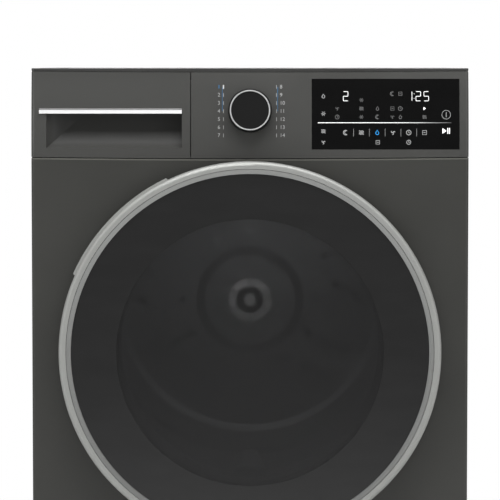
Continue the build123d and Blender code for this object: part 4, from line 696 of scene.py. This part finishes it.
def upright(x, z, tall, wide):
    """Plain rectangle standing at (x, z)."""
    half = np.array([wide, tall]) / 2
    corners = np.array([[-1, -1], [1, -1], [1, 1], [-1, 1]]) * half
    return filled(corners + np.array([x, z]))


def number(value, side, z):
    """Figure beside a bar, set flush with it on the left (-1) or on the right (1)."""
    align = "RIGHT" if side < 0 else "LEFT"
    return laid(figure(str(value), NUMBER_HEIGHT, align), side * NUMBER_OUT, z)


bars = [upright(side * BAR_OUT, z, BAR_HEIGHT, BAR_WIDTH) for side in (-1, 1) for z in heights[1:]]
bars.append(upright(BAR_OUT, heights[0], BAR_HEIGHT, BAR_WIDTH))
bold = [upright(-BAR_OUT, heights[0], 5.4 * MM, 1.6 * MM)]
numbers = [number(place + 1, -1, heights[place]) for place in range(1, 7)]
numbers += [number(place + 8, 1, heights[place]) for place in range(7)]
first = [number(1, -1, heights[0])]
line_z = np.linspace(heights[3], heights[0], 25)
blue_lines = [stroke(np.stack([np.full(25, side * (BAR_OUT + 1.6 * MM)), line_z], 1), 0.35 * MM)
              for side in (-1, 1)]
printed("dial_bars", bars + numbers, grey_ink, "fascia_plastic")
printed("dial_first_bar", bold, white_ink, "fascia_plastic")
printed("dial_blue_marks", first + blue_lines, blue_ink, "fascia_plastic")

# %% [markdown]
# ## The display
# A seven-segment figure is seven six-sided bars. Small plain symbols come from strokes and
# filled outlines: a sun, a drop, a moon, a clock, waves, a fan. All places are steps from the
# display's own corners.

# %% Seven-segment figures
SEGMENTS = {"1": "bc", "2": "abged", "5": "afgcd"}
SEGMENT_ENDS = {"a": ((0, 1), (1, 1)), "b": ((1, 1), (1, 0.5)), "c": ((1, 0.5), (1, 0)),
                "d": ((1, 0), (0, 0)), "e": ((0, 0), (0, 0.5)), "f": ((0, 0.5), (0, 1)),
                "g": ((0, 0.5), (1, 0.5))}


def segment_figure(text, x, z, wide, tall, weight):
    """Six-sided bars between the corners of a cell; each tip stops short of the corner."""
    bars = []
    for letter in SEGMENTS[text]:
        start, end = (np.array(point) * (wide, tall) for point in SEGMENT_ENDS[letter])
        along = (end - start) / np.linalg.norm(end - start)
        across = np.array([-along[1], along[0]]) * weight / 2
        inner = along * weight / 2
        tip = along * weight * 0.12
        bars.append(filled([start + tip, start + inner - across, end - inner - across, end - tip,
                            end - inner + across, start + inner + across]))
    return [laid(bar, x - wide / 2, z - tall / 2) for bar in bars]


display_width = display_high.x - display_low.x
display_height = display_high.z - display_low.z


def across(share):
    """Place across the display: 0 is its left edge, 1 its right one."""
    return display_low.x + share * display_width


def up(share):
    """Height on the display: 0 is its lower edge, 1 its upper one."""
    return display_low.z + share * display_height


DIGIT_ROW = 0.755
digits = []
for share, text in ((0.229, "2"), (0.663, "1"), (0.722, "2"), (0.776, "5")):
    digits += segment_figure(text, across(share), up(DIGIT_ROW), 6.4 * MM, 12.6 * MM, 0.75 * MM)
colon = [laid(filled(arc(0.5 * MM, count=12)), across(0.6935), up(share)) for share in (0.72, 0.79)]
printed("display_figures", digits + colon, lit_white, "display_glass")

# %% [markdown]
# ### Symbols
# Each symbol is drawn in a square one unit wide, so that the same function serves every size.

# %% Draw the symbols
LINE = 0.11


def spin(angle):
    """Turn in the plane by an angle in degrees."""
    c, s = np.cos(np.radians(angle)), np.sin(np.radians(angle))
    return np.array([[c, s], [-s, c]])


def sun():
    """Ring with six short rays."""
    rays = [stroke(np.array([[0.3, 0], [0.46, 0]]) @ spin(angle), LINE) for angle in range(0, 360, 60)]
    return [stroke(arc(0.18), LINE)] + rays


def clock():
    """Ring with two hands."""
    hands = stroke([[0, 0.28], [0, 0], [0.2, -0.1]], LINE)
    return [stroke(arc(0.42), LINE), hands]


def moon():
    """Crescent: a wide arc closed by a narrower one that bends the same way."""
    outer = arc(0.42, 60, 300)
    inner = arc(0.34, 280, 80) + np.array([0.16, 0])
    return [stroke(np.concatenate([outer, inner]), LINE, closed=True)]


def waves():
    """Three wavy lines: the height is a sine of x."""
    x = np.linspace(-0.42, 0.42, 17)
    return [stroke(np.stack([x, 0.09 * np.sin(x * 15) + rise], 1), LINE) for rise in (-0.26, 0, 0.26)]


def fan():
    """Three hooked blades round a dot."""
    blade = arc(0.15, 0, 240) + np.array([0.2, 0.06])
    return [stroke(blade @ spin(angle), LINE) for angle in (0, 120, 240)] + [filled(arc(0.07))]


def drop():
    """Round bulb whose open top runs out to a point."""
    angle = np.radians(np.linspace(-50, 230, 21))
    bulb = np.stack([0.28 * np.cos(angle), 0.28 * np.sin(angle) * -1 - 0.1], 1)
    return [stroke(np.concatenate([bulb, [[0, 0.44]]]), LINE, closed=True)]


def frame_mark():
    """Square with a bar."""
    return [stroke([[-0.36, -0.36], [0.36, -0.36], [0.36, 0.36], [-0.36, 0.36]], LINE, closed=True),
            stroke([[-0.2, 0], [0.2, 0]], LINE)]


def triangle():
    """Filled triangle that points to the right."""
    return [filled([[-0.3, -0.42], [0.42, 0], [-0.3, 0.42]])]


def placed(symbol, share_x, share_z, size):
    """Shapes of a symbol, put at a place on the display."""
    return [laid(shape, across(share_x), up(share_z), size) for shape in symbol()]


def power():
    """Ring round an upright bar."""
    return [stroke(arc(0.47), 0.045), stroke([[0, -0.27], [0, 0.27]], 0.06)]


def start_stop():
    """Triangle followed by two bars."""
    return [filled([[-0.5, -0.38], [0.05, 0], [-0.5, 0.38]]), upright(0.2, 0, 0.76, 0.13),
            upright(0.42, 0, 0.76, 0.13)]


print("ten symbols are drawn")

# %% [markdown]
# ### Symbols over the bright line
# The dim symbols stand in six columns and four rows, with gaps where nothing is shown. Power and
# start keep to a column of their own at the right. The bright line under the rows runs across
# nearly the whole glass.

# %% Put the symbols in their rows
SMALL = 6.4 * MM
BUTTON_COLUMN = 0.911
RULE_ROW = 0.378
columns = (0.172, 0.336, 0.445, 0.546, 0.600, 0.764)
dim = []
for row, marks in ((0.79, (None, None, None, moon, frame_mark, None)),
                   (0.70, (None, sun, None, None, None, None)),
                   (0.58, (fan, waves, drop, frame_mark, clock, None)),
                   (0.46, (clock, sun, moon, fan, drop, waves))):
    for column, mark in zip(columns, marks):
        if mark:
            dim += placed(mark, column, row, SMALL)
printed("display_symbols_dim", dim, lit_dim, "display_glass")

bright = placed(start_stop, BUTTON_COLUMN, 0.262, 10.5 * MM)
bright += placed(triangle, 0.764, 0.58, 5.0 * MM)
printed("display_symbols_bright", bright, lit_white, "display_glass")
rule = np.stack([np.linspace(across(0.04), across(0.945), 30), np.full(30, up(RULE_ROW))], 1)
printed("display_rule", [stroke(rule, 0.9 * MM)], lit_rule, "display_glass")

# %% [markdown]
# ### Touch keys
# Six keys lie under the bright line, parted by thin upright lines. Each has a plain symbol. The
# third is lit blue.

# %% Keys and their dividers
KEY_ROW = 0.238
KEY_SIZE = 7.6 * MM
SIDE_COLUMN = 0.078
FOOT_ROW = 0.10
key_columns = np.linspace(0.229, 0.764, 6)
gaps = (key_columns[1:] + key_columns[:-1]) / 2
keys = [upright(across(gap), up(KEY_ROW), 10.5 * MM, 0.4 * MM) for gap in gaps]
for column, mark in zip(key_columns, (moon, waves, None, fan, clock, frame_mark)):
    if mark:
        keys += placed(mark, column, KEY_ROW, KEY_SIZE)
for column, row, mark in ((SIDE_COLUMN, DIGIT_ROW, drop), (SIDE_COLUMN, 0.506, sun),
                          (SIDE_COLUMN, 0.257, waves), (SIDE_COLUMN, FOOT_ROW, fan),
                          (0.447, FOOT_ROW, frame_mark), (0.657, FOOT_ROW, clock)):
    keys += placed(mark, column, row, 6.8 * MM)
keys += placed(power, BUTTON_COLUMN, 0.492, 12.6 * MM)
printed("display_keys", keys, lit_grey, "display_glass")
lit_key = placed(drop, key_columns[2], KEY_ROW, KEY_SIZE)
printed("display_key_on", lit_key, lit_blue, "display_glass")

# %% [markdown]
# ## Screws
# Pan-head screws hold the rear panel along its sides and its top. The head is a turned profile.
# Its cross recess is too small to be worth faces, so the head's own flat coordinates go into a UV
# map and the material sinks a cross there and paints it dark, a painted shade inside the recess.

# %% The screws' zinc with its cross
screw_zinc = Finish("screw_zinc", {"Metallic": 0.95, "Roughness": 0.32})
uv = screw_zinc.node("UVMap")
arms = [screw_zinc.node("Math", {"operation": "ABSOLUTE"}, {0: screw_zinc.axis(uv, letter) - 0.5})
        for letter in "XY"]
slots = (arms[0] < 0.07) * (arms[1] < 0.30) + (arms[1] < 0.07) * (arms[0] < 0.30)
cross_recess_and_shade = slots.ramped(0.0, 1.0)
# Painted shade: the cross is near black where it sinks into the head.
screw_zinc.feed("Base Color", screw_zinc.mixed(cross_recess_and_shade, linear(190, 192, 194), linear(30)))
screw_zinc.bumped(1 - cross_recess_and_shade, 0.0008)
print("the cross takes up the middle of the head")

# %% One head, repeated in one mesh
def pan_head(radius, height, sides=14):
    """Turned head: rings of (radius, height) from the foot up over the rounded shoulder."""
    profile = np.array([[1.0, 0.0], [1.0, 0.35], [0.93, 0.7], [0.75, 0.93], [0.5, 1.0]])
    profile = profile * (radius, height)
    angle = np.arange(sides) * 2 * np.pi / sides
    rings = np.stack([profile[:, :1] * np.cos(angle), profile[:, :1] * np.sin(angle),
                      np.repeat(profile[:, 1:], sides, 1)], -1)
    faces = [tuple(face) for face in grid_faces(len(profile), sides, round_columns=True)]
    top = (len(profile) - 1) * sides
    faces.append(tuple(range(top, top + sides)))
    faces.append(tuple(range(sides - 1, -1, -1)))
    return rings.reshape(-1, 3), faces


def rear_screws(name, places, radius=4.0 * MM, height=2.2 * MM):
    """One mesh of heads that face +Y: the head's own X, Y and Z run along Z, X and Y."""
    points, faces = pan_head(radius, height)
    flat = points[:, :2] / radius / 2 + 0.5
    heads = [(np.stack([points[:, 1] + x, points[:, 2] + y, points[:, 0] + z], 1), faces)
             for x, y, z in places]
    made = piece(name, *joined(heads), screw_zinc, "root", "zinc_sheet")
    layer = made.data.uv_layers.new(name="UVMap")
    corner = np.zeros(len(made.data.loops), int)
    made.data.loops.foreach_get("vertex_index", corner)
    layer.data.foreach_set("uv", np.tile(flat, (len(heads), 1))[corner].ravel())
    return made


# %% [markdown]
# The boss of the drum's bearing stands eleven millimetres out of the rear panel, so the panel's
# face lies that far in front of the back of its box. The screws stand on that face, nine
# millimetres in from the panel's edges.

# %% Screws along the rear panel's edges
EDGE = 9 * MM
BEARING_REACH = 11 * MM
back_face_y = rear_high.y - BEARING_REACH
levels = np.linspace(rear_low.z + 45 * MM, rear_high.z - 15 * MM, 5)
edge_places = [(side * (rear_high.x - EDGE), back_face_y, z) for side in (-1, 1) for z in levels]
edge_places += [(x, back_face_y, rear_high.z - EDGE) for x in (-0.15, 0.0, 0.15)]
rear_screws("rear_panel_screws", edge_places)

# %% [markdown]
# ## Filter cloth
# The lint filter is a frame with barred windows. What catches the fluff is a very fine polyester
# cloth moulded into it, one sheet inside the front wall and one inside the rear. The weave is
# two crossed waves: where both are low there is a hole, so they feed Alpha.

# %% Cloth behind the filter's windows
cloth = Finish("filter_cloth", {"Roughness": 0.8})
warp, weft = (waved(cloth, letter, 0.9 * MM) for letter in "XZ")
woven = cloth.node("Math", {"operation": "MAXIMUM"}, {0: warp, 1: weft})
cloth.feed("Base Color", cloth.mixed(woven, linear(60, 64, 66), linear(172, 176, 178)))
cloth.feed("Alpha", woven.ramped(0.5, 0.62))
cloth.bumped(woven, 0.0002)

filter_low, filter_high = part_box("lint_filter")
INSET = 4 * MM
CLOTH_TOP = 118 * MM
BEHIND_WALL = 2.6 * MM
cloth_x = np.linspace(filter_low.x + INSET, filter_high.x - INSET, 12)
cloth_z = np.linspace(filter_low.z + INSET, filter_low.z + CLOTH_TOP, 8)
sheets = []
for cloth_y in (filter_low.y + BEHIND_WALL, filter_high.y - BEHIND_WALL):
    net = np.stack(np.meshgrid(cloth_x, [cloth_y], cloth_z, indexing="ij"), -1)[:, 0]
    sheets.append((net.transpose(1, 0, 2).reshape(-1, 3), grid_faces(8, 12)))
piece("filter_cloth", *joined(sheets), cloth, "lint_filter", "grey_plastic", 0.2 * MM)

# %% [markdown]
# ## Moisture sensor
# Two bare steel strips lie across the bottom of the mouth, behind the filter. Wet laundry that
# falls on both closes a weak circuit, and the dryer stops when it no longer does. Each strip is
# one small profile carried along an arc of the mouth. The mouth's radius follows from the filter,
# whose upper corners end on it.

# %% Steel strips in the mouth
filter_rise = door_centre.z - filter_high.z
mouth_radius = float(np.hypot(filter_high.x, filter_rise))
sensor_steel = brushed("sensor_steel", (188, 189, 190), 0.26, (0.03, 1, 1))
STRIP_PROFILE = np.array([[3.0, -0.2], [3.0, 0.5], [2.4, 0.9], [-2.4, 0.9], [-3.0, 0.5],
                          [-3.0, -0.2]]) * MM


def mouth_strip(middle_y, half_angle=24.0, steps=25):
    """Profile (across, inwards) along the mouth: x = r sin a, z = centre - r cos a, r = R - inwards."""
    angle = np.radians(np.linspace(-half_angle, half_angle, steps))[:, None]
    radius = mouth_radius - STRIP_PROFILE[None, :, 1]
    across = np.broadcast_to(middle_y + STRIP_PROFILE[None, :, 0], (steps, len(STRIP_PROFILE)))
    points = np.stack([radius * np.sin(angle), across, door_centre.z - radius * np.cos(angle)], -1)
    count = len(STRIP_PROFILE)
    faces = [tuple(face) for face in grid_faces(steps, count, round_columns=True)]
    faces.append(tuple(range(count - 1, -1, -1)))
    faces.append(tuple(range((steps - 1) * count, steps * count)))
    return points.reshape(-1, 3), faces


strips = [mouth_strip(filter_high.y + behind) for behind in (9 * MM, 19 * MM)]
piece("moisture_sensor_strips", *joined(strips), sensor_steel, "root", "steel")
print("mouth radius in mm:", round(mouth_radius / MM, 1))

# %% [markdown]
# ## Studio
# The dryer stands on a pale floor that keeps its shadow. A little way out the floor turns plain
# white for the camera alone, so that it runs into the background without an edge.

# %% Floor
FLOOR_HALF = 30.0
corners = np.array([[-1, -1, 0], [1, -1, 0], [1, 1, 0], [-1, 1, 0]]) * FLOOR_HALF
floor_mesh = bpy.data.meshes.new("floor")
floor_mesh.from_pydata(corners.tolist(), [], [(0, 1, 2, 3)])
floor = bpy.data.objects.new("floor", floor_mesh)
scene.collection.objects.link(floor)
pale = Finish("studio_floor", {"Roughness": 0.9, "Base Color": linear(236)})
seen = pale.node("LightPath", output="Is Camera Ray")
away = pale.node("VectorMath", {"operation": "LENGTH"}, {0: pale.place()}, output="Value")
fade = seen * away.ramped(0.45, 1.3)
white = pale.node("Emission", sockets={"Color": (1, 1, 1, 1), "Strength": 1.0})
both = pale.node("MixShader", sockets={0: fade, 1: Wire(pale, pale.shader.outputs[0]), 2: white})
pale.plug(pale.nodes["Material Output"].inputs["Surface"], both)
floor_mesh.materials.append(pale.material)
print("the floor is", 2 * FLOOR_HALF, "m wide")

# %% [markdown]
# ### World
# The world is white. To the camera, and through glass, it has its full strength, but it lights
# the dryer with a quarter of it, so that the lamps can shape the front.

# %% White world
WORLD_LIGHT = 0.25
world = bpy.data.worlds.new("studio")
scene.world = world
world.use_nodes = True
around_all = NodeTree(world.node_tree)
background = around_all.nodes["Background"]
camera_ray = around_all.node("LightPath", output="Is Camera Ray")
glass_ray = around_all.node("LightPath", output="Is Transmission Ray")
direct = camera_ray.maths("MAXIMUM", camera_ray, glass_ray)
strength = around_all.node("Mix", sockets={0: direct, 2: WORLD_LIGHT, 3: 1.0})
background.inputs["Color"].default_value = (1, 1, 1, 1)
around_all.plug(background.inputs["Strength"], strength)
print("the world lights the dryer with a strength of", WORLD_LIGHT)

# %% [markdown]
# ### Lights
# One wide light hangs overhead, one stands at each side of the camera and one fills the back. A
# dryer's drum has a small lamp behind its front edge. Here it is aimed at the hub.

# %% Soft lights and the drum's lamp
def soft_light(name, place, target, width, height, power):
    """Rectangular light at a place, turned to face its target."""
    lamp = bpy.data.lights.new(name, "AREA")
    lamp.shape = "RECTANGLE"
    lamp.size = width
    lamp.size_y = height
    lamp.energy = power
    holder = bpy.data.objects.new(name, lamp)
    holder.location = place
    holder.rotation_euler = (Vector(target) - Vector(place)).to_track_quat("-Z", "Y").to_euler()
    scene.collection.objects.link(holder)
    print(name, "has", power, "W")


body_middle = (0, 0, 0.5)
hub = (drum_axis.x, drum_high.y, drum_axis.z)
lamp_place = (0.0, drum_low.y + 20 * MM, drum_axis.z + 100 * MM)
soft_light("overhead", (0.0, -1.2, 2.8), body_middle, 2.6, 1.4, 66.0)
soft_light("left_side", (-2.6, -2.2, 1.5), body_middle, 1.2, 1.8, 21.0)
soft_light("right_side", (2.6, -2.2, 1.3), body_middle, 1.2, 1.8, 17.0)
soft_light("drum_lamp", lamp_place, hub, 0.16, 0.05, 0.5)
soft_light("rear_fill", (0.6, 3.4, 2.2), body_middle, 2.4, 1.2, 45.0)

# %% [markdown]
# ### Camera
# A product shot is taken from far off with a long lens, which keeps upright edges parallel. The
# camera stands a little above the worktop and looks slightly down on the door. Its lens
# follows from the width that it shows at the dryer's front.

# %% Camera
scene.view_settings.view_transform = "Standard"
DISTANCE = 4.0
FRAME_WIDTH = 0.682
EYE_HEIGHT = 0.853
AIM_HEIGHT = 0.598
camera = bpy.data.cameras.new("camera")
camera.sensor_width = 36.0
camera.lens = camera.sensor_width * DISTANCE / FRAME_WIDTH
holder = bpy.data.objects.new("camera", camera)
holder.location = (0.0, front_y - DISTANCE, EYE_HEIGHT)
aim = Vector((0.0, front_y, AIM_HEIGHT))
holder.rotation_euler = (aim - holder.location).to_track_quat("-Z", "Y").to_euler()
scene.collection.objects.link(holder)
scene.camera = holder
print("camera lens in mm:", round(camera.lens))
